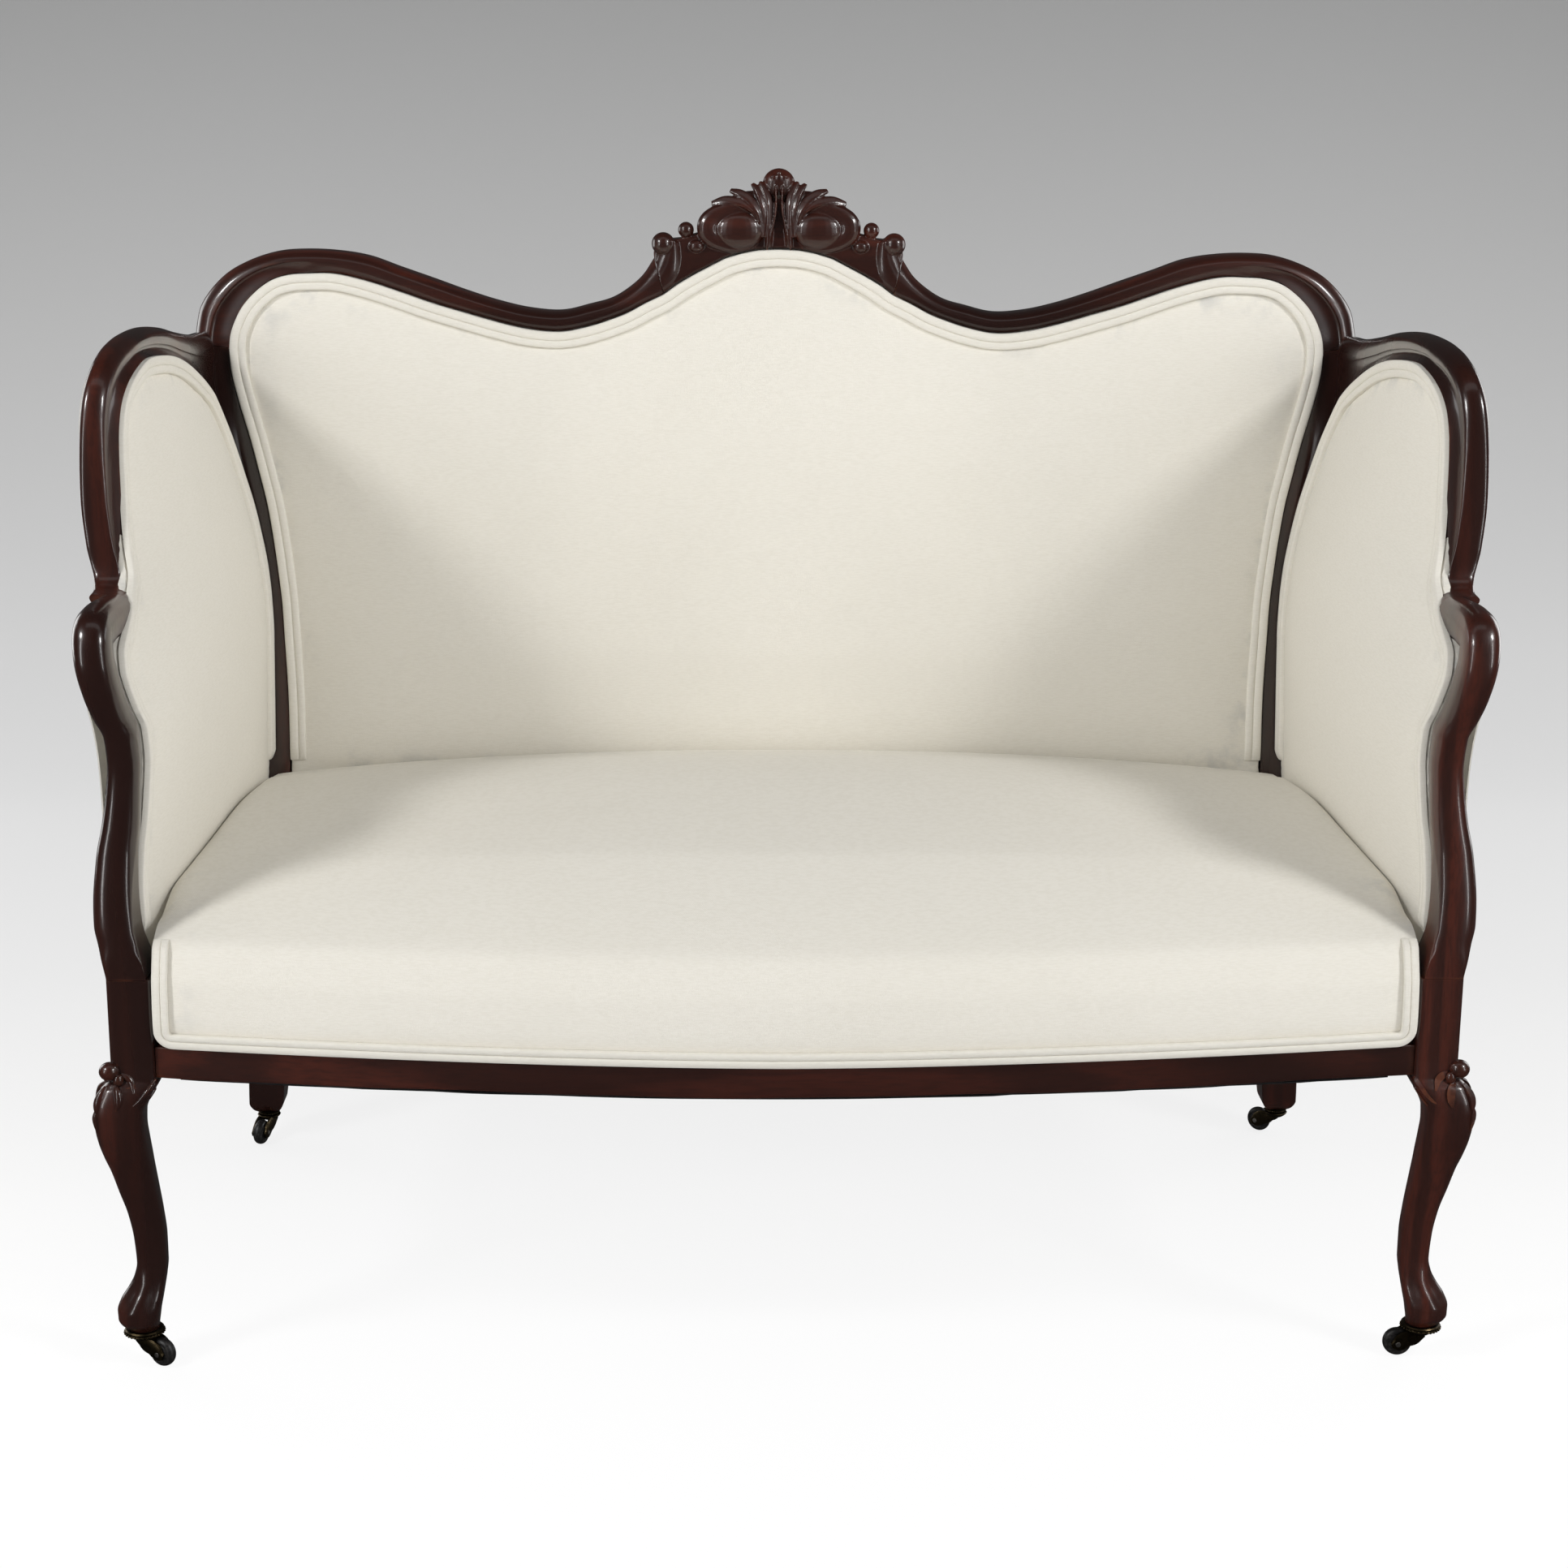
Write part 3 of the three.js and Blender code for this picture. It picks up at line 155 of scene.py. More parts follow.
# Back post from the foot up: share of height, outer and inner share of the half width
post_shares = np.array([
    [0.118, 0.944, 0.879], [0.266, 0.930, 0.862], [0.339, 0.923, 0.855], [0.393, 0.920, 0.849],
    [0.481, 0.920, 0.848], [0.546, 0.921, 0.853], [0.579, 0.923, 0.856], [0.611, 0.929, 0.862],
    [0.643, 0.937, 0.869], [0.675, 0.946, 0.878], [0.707, 0.957, 0.891], [0.739, 0.971, 0.905],
    [0.771, 0.985, 0.921], [0.803, 0.997, 0.934],
])
post_foot_shares = (0.951, 0.889)
post_foot_taper_shares = np.array([[0.00, 0.58], [0.16, 0.72], [0.40, 0.84], [0.70, 0.94], [1.00, 1.00]])

# Top rail from the post to the scroll: outer and inner points, shares of half width and height
top_rail_shares = np.array([
    [0.999, 0.830, 0.937, 0.825], [0.995, 0.847, 0.935, 0.837], [0.988, 0.864, 0.927, 0.851],
    [0.969, 0.881, 0.913, 0.866], [0.940, 0.897, 0.889, 0.881], [0.901, 0.909, 0.861, 0.892],
    [0.854, 0.917, 0.830, 0.897], [0.811, 0.919, 0.803, 0.898], [0.757, 0.918, 0.757, 0.898],
    [0.701, 0.913, 0.701, 0.891], [0.646, 0.902, 0.646, 0.881], [0.590, 0.891, 0.590, 0.870],
    [0.536, 0.880, 0.536, 0.861], [0.480, 0.870, 0.480, 0.852], [0.425, 0.863, 0.425, 0.845],
    [0.369, 0.861, 0.369, 0.843], [0.323, 0.867, 0.318, 0.849], [0.286, 0.873, 0.286, 0.855],
    [0.259, 0.882, 0.259, 0.861], [0.233, 0.895, 0.230, 0.870], [0.213, 0.912, 0.197, 0.879],
])

# Crest: lower edge along the panel, then the outline from the scroll to the crown
crest_lower_shares = np.array([
    [0.173, 0.889], [0.146, 0.898], [0.119, 0.906], [0.092, 0.914], [0.063, 0.919], [0.036, 0.922],
    [0.000, 0.923],
])
crest_plate_shares = np.array([
    [0.196, 0.880], [0.212, 0.911], [0.208, 0.926], [0.188, 0.931], [0.168, 0.932], [0.150, 0.935],
    [0.131, 0.938], [0.120, 0.949], [0.106, 0.958], [0.092, 0.966], [0.070, 0.970], [0.046, 0.975], [0.028, 0.983],
    [0.014, 0.990], [0.000, 0.993],
])

# Wing rail from the arm to the post: outer and inner points, shares of depth and of wing rise
wing_shares = np.array([
    [0.138, 0.000, 0.138, -0.166], [0.169, 0.015, 0.170, -0.141], [0.191, 0.068, 0.204, -0.078],
    [0.196, 0.200, 0.2205, 0.088], [0.202, 0.395, 0.2350, 0.322], [0.212, 0.600, 0.2500, 0.540],
    [0.2255, 0.740, 0.2625, 0.655], [0.246, 0.843, 0.282, 0.748], [0.281, 0.917, 0.311, 0.812],
    [0.330, 0.966, 0.349, 0.856], [0.381, 0.991, 0.387, 0.882], [0.433, 1.003, 0.426, 0.898],
    [0.532, 1.005, 0.523, 0.888], [0.650, 0.976, 0.633, 0.844], [0.771, 0.922, 0.752, 0.751],
    [0.890, 0.878, 0.872, 0.605],
])
wing_end_shares = (0.863, 0.080)
wing_turn_shares = (0.952, 0.932, 0.445)
wing_turn_lift = 1.5

# Arm support: depth and height of its centre line, width and depth of its section
arm_shares = np.array([
    [0.000, 0.000, 1.000, 1.000], [0.026, 0.091, 1.062, 1.036], [0.155, 0.217, 0.959, 0.984],
    [0.363, 0.343, 0.868, 0.933], [0.492, 0.469, 0.751, 0.881], [0.492, 0.579, 0.712, 0.855],
    [0.311, 0.689, 0.738, 0.881], [0.052, 0.789, 0.829, 0.959], [-0.026, 0.871, 0.829, 0.984],
    [0.181, 0.928, 0.829, 0.959], [0.777, 0.947, 0.829, 0.907], [1.930, 0.947, 0.777, 0.881],
])
# Chamfer on the inner front corner of the arm support: share of its height, share of its width
arm_chamfer_shares = np.array([
    [0.00, 0.02], [0.03, 0.06], [0.08, 0.22], [0.13, 0.18], [0.20, 0.05], [1.00, 0.02],
])

# Cabriole leg: share of the rail height, outer and inner reach as shares of half the block,
# squareness of the section
leg_shares = np.array([
    [1.3321, 1.000, 1.000, 9.0], [1.059, 1.000, 1.000, 9.0], [1.030, 1.040, 1.000, 8.0],
    [0.998, 1.120, 1.030, 6.0], [0.984, 1.300, 1.100, 5.0], [0.970, 1.480, 1.000, 4.4],
    [0.923, 1.740, 0.620, 3.6], [0.886, 1.790, 0.450, 3.4], [0.841, 1.780, 0.430, 3.2],
    [0.793, 1.690, 0.480, 3.2], [0.738, 1.500, 0.550, 3.2], [0.683, 1.270, 0.620, 3.0],
    [0.609, 1.020, 0.720, 3.0], [0.517, 0.715, 0.845, 2.8], [0.428, 0.540, 0.920, 2.8],
    [0.343, 0.480, 0.915, 2.8], [0.295, 0.600, 0.845, 2.7], [0.262, 0.810, 0.775, 2.6],
    [0.225, 1.140, 0.695, 2.5], [0.188, 1.330, 0.600, 2.5], [0.162, 1.330, 0.550, 2.4],
    [0.148, 1.260, 0.520, 2.2], [0.135, 1.110, 0.490, 2.2], [0.1205, 0.960, 0.470, 2.0],
])

# Seat: share of depth and of crown along the side; share of rise and of swell up the front face
seat_line_shares = np.array([
    [0.00, 0.30], [0.006, 0.40], [0.02, 0.48], [0.05, 0.55], [0.13, 0.68], [0.25, 0.81], [0.42, 0.93],
    [0.62, 1.00], [0.82, 0.92], [0.93, 0.78], [1.00, 0.74],
])
seat_face_shares = np.array([[0.00, 0.50], [0.35, -1.00], [0.75, -0.33], [1.00, 1.60]])
seat_roll_share = 0.25


# A point beside each rounding keeps worn edges narrow: its distance, its most as a share of the side
edge_guard = 1.5
edge_guard_share = 0.2


# Curves and sections
def spline(points, count):
    """Smooth curve through a row of points, sampled at even parameter steps."""
    p = np.asarray(points, float)
    p = np.vstack([2 * p[0] - p[1], p, 2 * p[-1] - p[-2]])
    last = len(p) - 3
    place = np.linspace(0, last, count)
    i = np.minimum(place.astype(int), last - 1)
    t = (place - i)[:, None]
    step = np.maximum(np.linalg.norm(np.diff(p, axis=0), axis=1), 1e-9) ** 0.5
    a, b, c, d = p[i], p[i + 1], p[i + 2], p[i + 3]
    da, db, dc = step[i][:, None], step[i + 1][:, None], step[i + 2][:, None]
    leave = ((b - a) / da - (c - a) / (da + db) + (c - b) / db) * db
    reach = ((c - b) / db - (d - b) / (db + dc) + (d - c) / dc) * db
    return (
        b + leave * t
        + (3 * (c - b) - 2 * leave - reach) * t ** 2
        + (2 * (b - c) + leave + reach) * t ** 3
    )


def smooth_at(table, key, column=1):
    """Value of a table at a key, read along a smooth line without overshoot."""
    x, y = table[:, 0], table[:, column]
    slope = np.diff(y) / np.diff(x)
    tangent = np.zeros(len(x))
    same = slope[1:] * slope[:-1] > 0
    inner = 2 * slope[1:] * slope[:-1] / np.where(same, slope[1:] + slope[:-1], 1)
    tangent[1:-1] = np.where(same, inner, 0)
    tangent[0], tangent[-1] = slope[0], slope[-1]
    key = np.clip(key, x[0], x[-1])
    i = np.clip(np.searchsorted(x, key, side="right") - 1, 0, len(x) - 2)
    width = x[i + 1] - x[i]
    t = (key - x[i]) / width
    return (
        y[i] * (1 + 2 * t) * (1 - t) ** 2 + tangent[i] * width * t * (1 - t) ** 2
        + y[i + 1] * t ** 2 * (3 - 2 * t) + tangent[i + 1] * width * t ** 2 * (t - 1)
    )


def smoothstep(value, low=0.0, high=1.0):
    t = np.clip((np.asarray(value, float) - low) / (high - low), 0, 1)
    return t * t * (3 - 2 * t)


def rounded(corners, steps=6):
    """Closed section from corners given as across, height, rounding before and rounding after."""
    corners = np.asarray(corners, float)
    points = corners[:, :2]
    ring = []
    for i, (corner, (before, after)) in enumerate(zip(points, corners[:, 2:])):
        to_last = points[i - 1] - corner
        to_next = points[(i + 1) % len(points)] - corner
        last_length, next_length = np.linalg.norm(to_last), np.linalg.norm(to_next)
        start = corner + to_last / last_length * before
        end = corner + to_next / next_length * after
        ring.append(start + to_last / last_length * min(edge_guard, edge_guard_share * last_length))
        for t in np.linspace(0, 1, steps):
            ring.append(start * (1 - t) ** 2 + 2 * corner * t * (1 - t) + end * t ** 2)
        ring.append(end + to_next / next_length * min(edge_guard, edge_guard_share * next_length))
    return np.array(ring)


def super_ring(half_width, half_depth, squareness, count):
    """Round-cornered section of a squareness, as count points."""
    angle = (np.arange(count) + 0.5) / count * 2 * math.pi
    shape = [np.sign(v) * np.abs(v) ** (2 / squareness) for v in (np.cos(angle), np.sin(angle))]
    return np.column_stack([half_width * shape[0], half_depth * shape[1]])


def offset_line(points, distance, closed=True):
    """Flat line moved to its left by a distance, without the loops of tight corners."""
    p = np.asarray(points, float)
    before = np.roll(p, 1, axis=0) if closed else np.vstack([2 * p[0] - p[1], p[:-1]])
    after = np.roll(p, -1, axis=0) if closed else np.vstack([p[1:], 2 * p[-1] - p[-2]])
    first = (p - before) / np.linalg.norm(p - before, axis=1)[:, None]
    second = (after - p) / np.linalg.norm(after - p, axis=1)[:, None]
    along = first + second
    along /= np.maximum(np.linalg.norm(along, axis=1), 1e-9)[:, None]
    stretch = 1 / np.maximum((along * first).sum(1), 0.7)
    moved = p + np.column_stack([-along[:, 1], along[:, 0]]) * (distance * stretch)[:, None]
    near = np.array([np.linalg.norm(p - q, axis=1).min() for q in moved])
    return moved, near > abs(distance) * 0.97 - 0.05


def resample(points, count, closed=False):
    """Line drawn again with evenly spaced points."""
    p = np.asarray(points, float)
    if closed:
        p = np.vstack([p, p[:1]])
    run = np.concatenate([[0], np.cumsum(np.linalg.norm(np.diff(p, axis=0), axis=1))])
    places = np.linspace(0, run[-1], count, endpoint=not closed)
    return np.column_stack([np.interp(places, run, p[:, k]) for k in range(p.shape[1])])


def eased(points, times, closed=False):
    """Line with its small corners worn round."""
    p = np.asarray(points, float).copy()
    for _ in range(times):
        if closed:
            p = (np.roll(p, 1, axis=0) + 2 * p + np.roll(p, -1, axis=0)) / 4
        else:
            p[1:-1] = (p[:-2] + 2 * p[1:-1] + p[2:]) / 4
    return p


# Surfaces of the frame, in millimetres from the front legs' axis
def side_middle(y, z):
    share = np.asarray(z, float) / overall_height
    front = leg_axis * smooth_at(side_front_shares, share)
    rear = back_half_width * smooth_at(side_rear_shares, share)
    return front + (rear - front) * y / back_depth


def back_front(z):
    z = np.asarray(z, float)
    sweep = np.clip((rake_height - z) / (rake_height - rear_leg_foot), 0, None)
    return np.where(
        z >= rake_height, back_depth + back_rake * (z - rake_height),
        back_depth + rear_leg_sweep * sweep ** 2,
    )


def rail_front(x):
    share = np.minimum(np.abs(x) / rail_half, 1)
    return rail_set_back - half_block - front_bow * (1 - share ** front_bow_power)


def on_side(side):
    return lambda y, z, out: np.stack(
        np.broadcast_arrays(side * (side_middle(y, z) + out), y, z), -1)


def on_back(x, z, behind):
    return np.stack(np.broadcast_arrays(x, back_front(z) + behind, z), -1)


def placed(points):
    """Points in millimetres as metres in the frame."""
    p = np.asarray(points, float) * MM
    return p + np.array([0, depth_datum * MM, 0])


def mirrored(line, side):
    return np.column_stack([side * line[:, 0], line[:, 1]])


side_depth = float(back_front(arm_top + wing_end_shares[0] * (wing_top - arm_top)))
back_scale = np.array([back_half_width, overall_height, back_half_width, overall_height])
top_rail_line = top_rail_shares * back_scale
post_line = np.column_stack([
    post_shares[:, 1] * back_half_width, post_shares[:, 0] * overall_height,
    post_shares[:, 2] * back_half_width, post_shares[:, 0] * overall_height,
])
post_foot = [post_foot_shares[0] * back_half_width, rear_leg_foot,
             post_foot_shares[1] * back_half_width, rear_leg_foot]
post_end = top_rail_line[0] - [0, seam, 0, seam]
post_line = np.vstack([post_foot, post_line, post_end])
wing_rise = wing_top - arm_top
wing_line = np.column_stack([
    wing_shares[:, 0] * side_depth, arm_top + wing_shares[:, 1] * wing_rise,
    wing_shares[:, 2] * side_depth, arm_top + wing_shares[:, 3] * wing_rise,
])
wing_feet = [arm_top + share * wing_rise for share in wing_end_shares]
wing_turn = [side_depth * wing_turn_shares[0], wing_feet[0] + wing_turn_lift,
             side_depth * wing_turn_shares[1], arm_top + wing_turn_shares[2] * wing_rise]
wing_end = [back_front(wing_feet[0]) - seam, wing_feet[0], back_front(wing_feet[1]) - seam, wing_feet[1]]
wing_line = np.vstack([wing_line, wing_turn, wing_end])
arm_line = np.column_stack([
    arm_shares[:, 0] * leg_block, leg_top + seam + arm_shares[:, 1] * (arm_top - leg_top - seam),
    arm_shares[:, 2:] * leg_block,
])
arm_line[-1, 0] = wing_line[0, 0] - seam
rear_axis = (back_half_width * sum(post_foot_shares) / 2, back_depth + rear_leg_sweep + half_back)


# Meshes and objects
crease = math.radians(38)


def new_object(name, data):
    piece = bpy.data.objects.new(name, data)
    bpy.context.scene.collection.objects.link(piece)
    return piece


def make_object(name, vertices, faces, material, sharp=crease):
    """Object from points in millimetres, with smooth shading and crisp edges kept."""
    mesh = bpy.data.meshes.new(name)
    mesh.from_pydata(placed(vertices).tolist(), [], [list(map(int, f)) for f in faces])
    mesh.validate()
    work = bmesh.new()
    work.from_mesh(mesh)
    bmesh.ops.remove_doubles(work, verts=work.verts, dist=1e-6)
    bmesh.ops.recalc_face_normals(work, faces=work.faces)
    if work.calc_volume(signed=True) < 0:
        bmesh.ops.reverse_faces(work, faces=work.faces)
    work.to_mesh(mesh)
    work.free()
    mesh.polygons.foreach_set("use_smooth", [True] * len(mesh.polygons))
    if sharp:
        mesh.set_sharp_from_angle(angle=sharp)
    mesh.materials.append(material)
    return new_object(name, mesh)


def ring_faces(rows, columns, first=0, looped=False, closed=True):
    """Faces between rings of points that are stored one after another."""
    r = np.arange(rows if looped else rows - 1)
    c = np.arange(columns if closed else columns - 1)
    here, there = r[:, None] * columns, ((r + 1) % rows)[:, None] * columns
    across = (c + 1) % columns
    quads = np.stack([here + c, here + across, there + across, there + c], -1)
    return (quads.reshape(-1, 4) + first).tolist()


def loft(rings, looped=False):
    """Closed body through rings of as many points each: its points and faces."""
    rings = np.asarray(rings, float)
    rows, columns = rings.shape[:2]
    faces = ring_faces(rows, columns, looped=looped)
    if not looped:
        faces.append(list(range(columns))[::-1])
        faces.append(list(range((rows - 1) * columns, rows * columns)))
    return rings.reshape(-1, 3), faces


def together(bodies):
    """Several closed bodies as one list of points and faces."""
    points, faces, count = [], [], 0
    for body_points, body_faces in bodies:
        points.append(np.asarray(body_points, float))
        faces += [[i + count for i in face] for face in body_faces]
        count += len(body_points)
    return np.vstack(points), faces


def band(outer, inner, section_at, place):
    """Rail between two edge lines; section_at(width, share) gives its section at a station."""
    count = len(outer)
    rings = []
    for k in range(count):
        width = np.linalg.norm(inner[k] - outer[k])
        section = section_at(width, k / (count - 1))
        across = section[:, 0] / width
        flat = outer[k] + (inner[k] - outer[k]) * across[:, None]
        rings.append(place(flat[:, 0], flat[:, 1], section[:, 1]))
    return np.array(rings)


def back_rail(line, side, section_at):
    """Closed rail in the plane of the back, along a line of outer and inner points."""
    return band(mirrored(line[:, :2], side), mirrored(line[:, 2:], side), section_at,
                lambda x, z, h: on_back(x, z, h + half_back))


def two_edges(table, count):
    """Outer and inner edge of a rail, each drawn as its own smooth line."""
    return np.column_stack([spline(table[:, :2], count), spline(table[:, 2:], count)])


def sweep(path, widths, heights, up, section):
    """Body along a path in space; the section is scaled by the width and height at each point."""
    path = np.asarray(path, float)
    along = np.gradient(path, axis=0)
    along /= np.linalg.norm(along, axis=1)[:, None]
    up = np.broadcast_to(np.asarray(up, float), path.shape)
    across = np.cross(along, up)
    across /= np.linalg.norm(across, axis=1)[:, None]
    over = np.cross(across, along)
    section = np.asarray(section, float)
    return (
        path[:, None] + across[:, None] * (section[None, :, 0:1] * np.asarray(widths)[:, None, None])
        + over[:, None] * (section[None, :, 1:2] * np.asarray(heights)[:, None, None])
    )


def settled(piece, stands_for, slot="mahogany", body="settee"):
    """Ties a finished piece to its body and hides the solid that it stands for; the slot is not used."""
    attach(piece, body)
    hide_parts(stands_for)
    return piece


def applied(piece):
    """Keeps what a piece's modifiers make of it as its own mesh."""
    mesh = bpy.data.meshes.new_from_object(piece.evaluated_get(bpy.context.evaluated_depsgraph_get()))
    piece.modifiers.clear()
    piece.data = mesh
    mesh.polygons.foreach_set("use_smooth", [True] * len(mesh.polygons))
    return piece


# Show wood
def moulded(width, half, ridge, crest, face_end, cove, back_round, start, sharp):
    """Section of a shaped rail: rounded back, a roll over the outer edge to a ridge, then a hollow face."""
    turn = np.linspace(0, math.pi / 2, 9)
    back = np.column_stack([back_round * (1 - np.sin(turn)), half - back_round * (1 - np.cos(turn))])
    roll = np.column_stack([ridge * (1 - np.cos(turn)), start - (start - crest) * np.sin(turn)])
    run = np.concatenate([np.linspace(0, 0.2, 8)[1:], np.linspace(0.2, 1, 13)[1:]])
    face = np.column_stack([
        ridge + (width - ridge) * run,
        crest + (face_end - crest) * run ** 1.3 + cove * np.sin(math.pi * run ** sharp)])
    return np.vstack([[(width, half - 1), (width - 1, half)], back, roll, face])


def top_rail_section(width, share):
    """Crisp ridge and hollow face beside the wing, worn into one soft roll towards the scroll."""
    crisp = 1 - smoothstep(share, 0.16, 0.46)
    worn = 1 - crisp
    return moulded(width, half_back, ridge=(0.44 + 0.08 * worn) * width, crest=-half_back - 1.2,
                   face_end=2 - half_back, cove=4.2 * crisp - 0.9 * worn, back_round=5, start=-1,
                   sharp=0.55 + 0.3 * worn)


def post_section(width, share):
    top = 1.5 + 8 * smoothstep(share, 0.9, 1)
    return rounded([
        (width, half_back, 1.5, 1.5), (0, half_back, 3, 3), (0, -half_back, top, 1.6),
        (0.5 * width, -half_back + 0.2, 3, 3), (width, -half_back, 1.2, 1.2),
    ])


def wing_section(width, share):
    """Round nose over the outer edge up to a ridge, then a hollow face down to the pad."""
    start = smoothstep(share, 0.0, 0.12)
    arch, rear = smoothstep(share, 0.16, 0.62), smoothstep(share, 0.62, 1.0)
    ridge = min(4 + 10 * arch + 8 * rear, 0.6 * width)
    crest = -half_side * (1 - start) - start * (6.5 + 1.5 * arch - 4.5 * rear)
    section = moulded(width, half_side, ridge, crest, face_end=1.2 - half_side, cove=2.6 * start,
                      back_round=7, start=7, sharp=0.7)
    foot = 3.4 * (1 - smoothstep(share, 0.2, 0.36))
    section[:, 1] += foot * np.exp(-(section[:, 0] / 8) ** 2) * smoothstep(section[:, 1], -2, 8)
    return section


def make_top_rail(side):
    return loft(back_rail(two_edges(top_rail_line, 180), side, top_rail_section))


def rebated(rings, side):
    """Rings of depth, height and stand-off, thinned where the side panel laps over their inner face."""
    y, z, out = np.moveaxis(rings, -1, 0)
    spots, line = np.column_stack([y.ravel(), z.ravel()]), side_outline()[::3]
    near = np.array([np.linalg.norm(line - spot, axis=1).min() for spot in spots])
    depth = np.where(inside_line(spots, line), near, 0).reshape(y.shape)
    inner = -half_side - 2 + (half_side + 3.5 - pad_depth) * smoothstep(depth, 1.0, 5.0)
    return on_side(side)(y, z, np.maximum(out, inner))


def make_wing_rail(side):
    line = two_edges(wing_line, 170)
    flat = band(line[:, :2], line[:, 2:], wing_section, lambda y, z, out: np.stack([y, z, out], -1))
    return loft(rebated(flat, side))


def make_back_post(side):
    rings = back_rail(two_edges(post_line, 120), side, post_section)
    foot_bottom = wheel_diameter + running_gap + plate_thickness + seam
    axis = np.array([side * rear_axis[0], rear_axis[1]])
    rise = np.linspace(0, 1, 10)[:-1]
    share = smooth_at(post_foot_taper_shares, rise)
    foot = [np.column_stack([axis + (rings[0][:, :2] - axis) * s,
                             np.full(len(rings[0]), foot_bottom + r * rear_leg_taper)])
            for r, s in zip(rise, share)]
    keep = rings[:, :, 2].min(1) > foot_bottom + rear_leg_taper
    return loft(np.concatenate([np.array(foot), rings[keep]]))


# Direction in which the arm's inner front corner is cut back
chamfer_way = np.array([-0.74, -0.672])


def arm_stations(count):
    """Places along the arm support with the direction and section size there."""
    line = spline(arm_line[:, :2], count)
    place = np.linspace(0, len(arm_line) - 1, count)
    sizes = np.column_stack([np.interp(place, np.arange(len(arm_line)), arm_line[:, k]) for k in (2, 3)])
    along = np.gradient(line, axis=0)
    along /= np.linalg.norm(along, axis=1)[:, None]
    along[0], along[-1] = (0, 1), (1, 0)
    return line, along, eased(sizes, 60)


def make_arm_support(side):
    """Stem that rises from the leg block and turns back over the arm in a rounded knuckle."""
    count = 180
    line, along, sizes = arm_stations(count)
    widths, depths = sizes.T
    rings = []
    for k, ((y, z), (dy, dz)) in enumerate(zip(line, along)):
        share = k / (count - 1)
        half_w, half_d = widths[k] / 2, depths[k] / 2
        chamfer = smooth_at(arm_chamfer_shares, np.array([share]))[0] * 2 * half_w
        square = 1 - smoothstep(share, 0.01, 0.11)
        section = super_ring(half_w, half_d, 2.6 + 6.4 * square ** 2, 72)
        behind = super_ring(half_w, half_d, 3.4 + 5.6 * square, 72)
        section = np.where(section[:, 1:] > 0, behind, section)
        over = np.clip(section @ chamfer_way + (half_w - chamfer) * chamfer_way[0] + half_d * chamfer_way[1], 0, None)
        section = section - over[:, None] * chamfer_way
        flat_y, flat_z = y + dz * section[:, 1], z - dy * section[:, 1]
        lean = side_middle(y, z) - side_middle(flat_y, flat_z)
        rings.append(np.column_stack([flat_y, flat_z, lean + section[:, 0]]))
    return loft(rebated(np.array(rings), side))


# Scooped toe: height of its middle, its reach up and down, ridges in a full turn
toe_height = 64
toe_reach = 17
toe_scoops = 4.2


# Front legs
def leg_rings(side, count=132):
    """Rings of a cabriole leg from its block down to the foot, with the scooped toe."""
    table = leg_shares[::-1]
    high = np.linspace(table[0, 0], 1.10, 250)
    top = table[-1, 0]
    at_rail = 1 + np.linspace(-0.01, 0.002, 9)
    high = np.union1d(high, [*at_rail, 1.2, top - 0.02, top - 0.004, top])[::-1]
    outer, inner, square = (smooth_at(table, high, column) for column in (1, 2, 3))
    rings = []
    for z, out, back, squareness in zip(high * rail_bottom, outer * half_block, inner * half_block, square):
        centre, half = (out - back) / 2, (out + back) / 2
        ring = super_ring(half, half, squareness, count)
        angle = np.degrees(np.arctan2(-ring[:, 1], ring[:, 0])) - 45
        angle = (angle + 180) % 360 - 180
        toe = np.exp(-((z - toe_height) / toe_reach) ** 2) * smoothstep(z, 38, 50)
        ridges = -np.cos(np.radians(np.clip(angle, -128, 128) * toe_scoops))
        front = np.exp(-(angle / 86) ** 4)
        grow = 1 + toe * front * (0.10 * ridges - 0.03) * (half_block / half)
        ring = ring * grow[:, None]
        rings.append(np.column_stack([
            side * (leg_axis + centre + ring[:, 0]), ring[:, 1] - centre, np.full(count, z)]))
    return np.array(rings)


def surface_probe(points, faces):
    """Finds the point and normal of a body's surface met from outside in a level direction."""
    tree = BVHTree.FromPolygons([Vector(p) for p in points], faces)

    def probe(place, way, z, far=120.0):
        way = Vector((way[0], way[1], 0))
        start = Vector((place[0], place[1], z))
        spot, normal, _, _ = tree.ray_cast(start + way * far, -way)
        if spot is None:
            spot, normal, _, _ = tree.find_nearest(start + way * 30)
        return np.array(spot), np.array(normal)
    return probe


# Relief of the knee: angle from the leg's corner in degrees, height, half width, rise
knee_leaf_lines = [
    [(0, 266, 2.0, 1.6), (1, 258, 4.2, 3.4), (1, 250, 4.0, 2.8), (0, 243, 1.4, 0.6)],
    [(2, 246, 1.8, 1.2), (3, 239, 3.4, 2.6), (2, 232, 2.8, 1.8), (0, 225, 0.9, 0.3)],
    [(14, 268, 1.8, 1.4), (24, 262, 3.6, 3.0), (27, 255, 3.2, 2.2), (25, 248, 1.0, 0.4)],
    [(20, 276, 1.8, 1.2), (35, 273, 3.2, 2.4), (45, 268, 2.6, 1.8), (50, 262, 0.9, 0.4)],
]
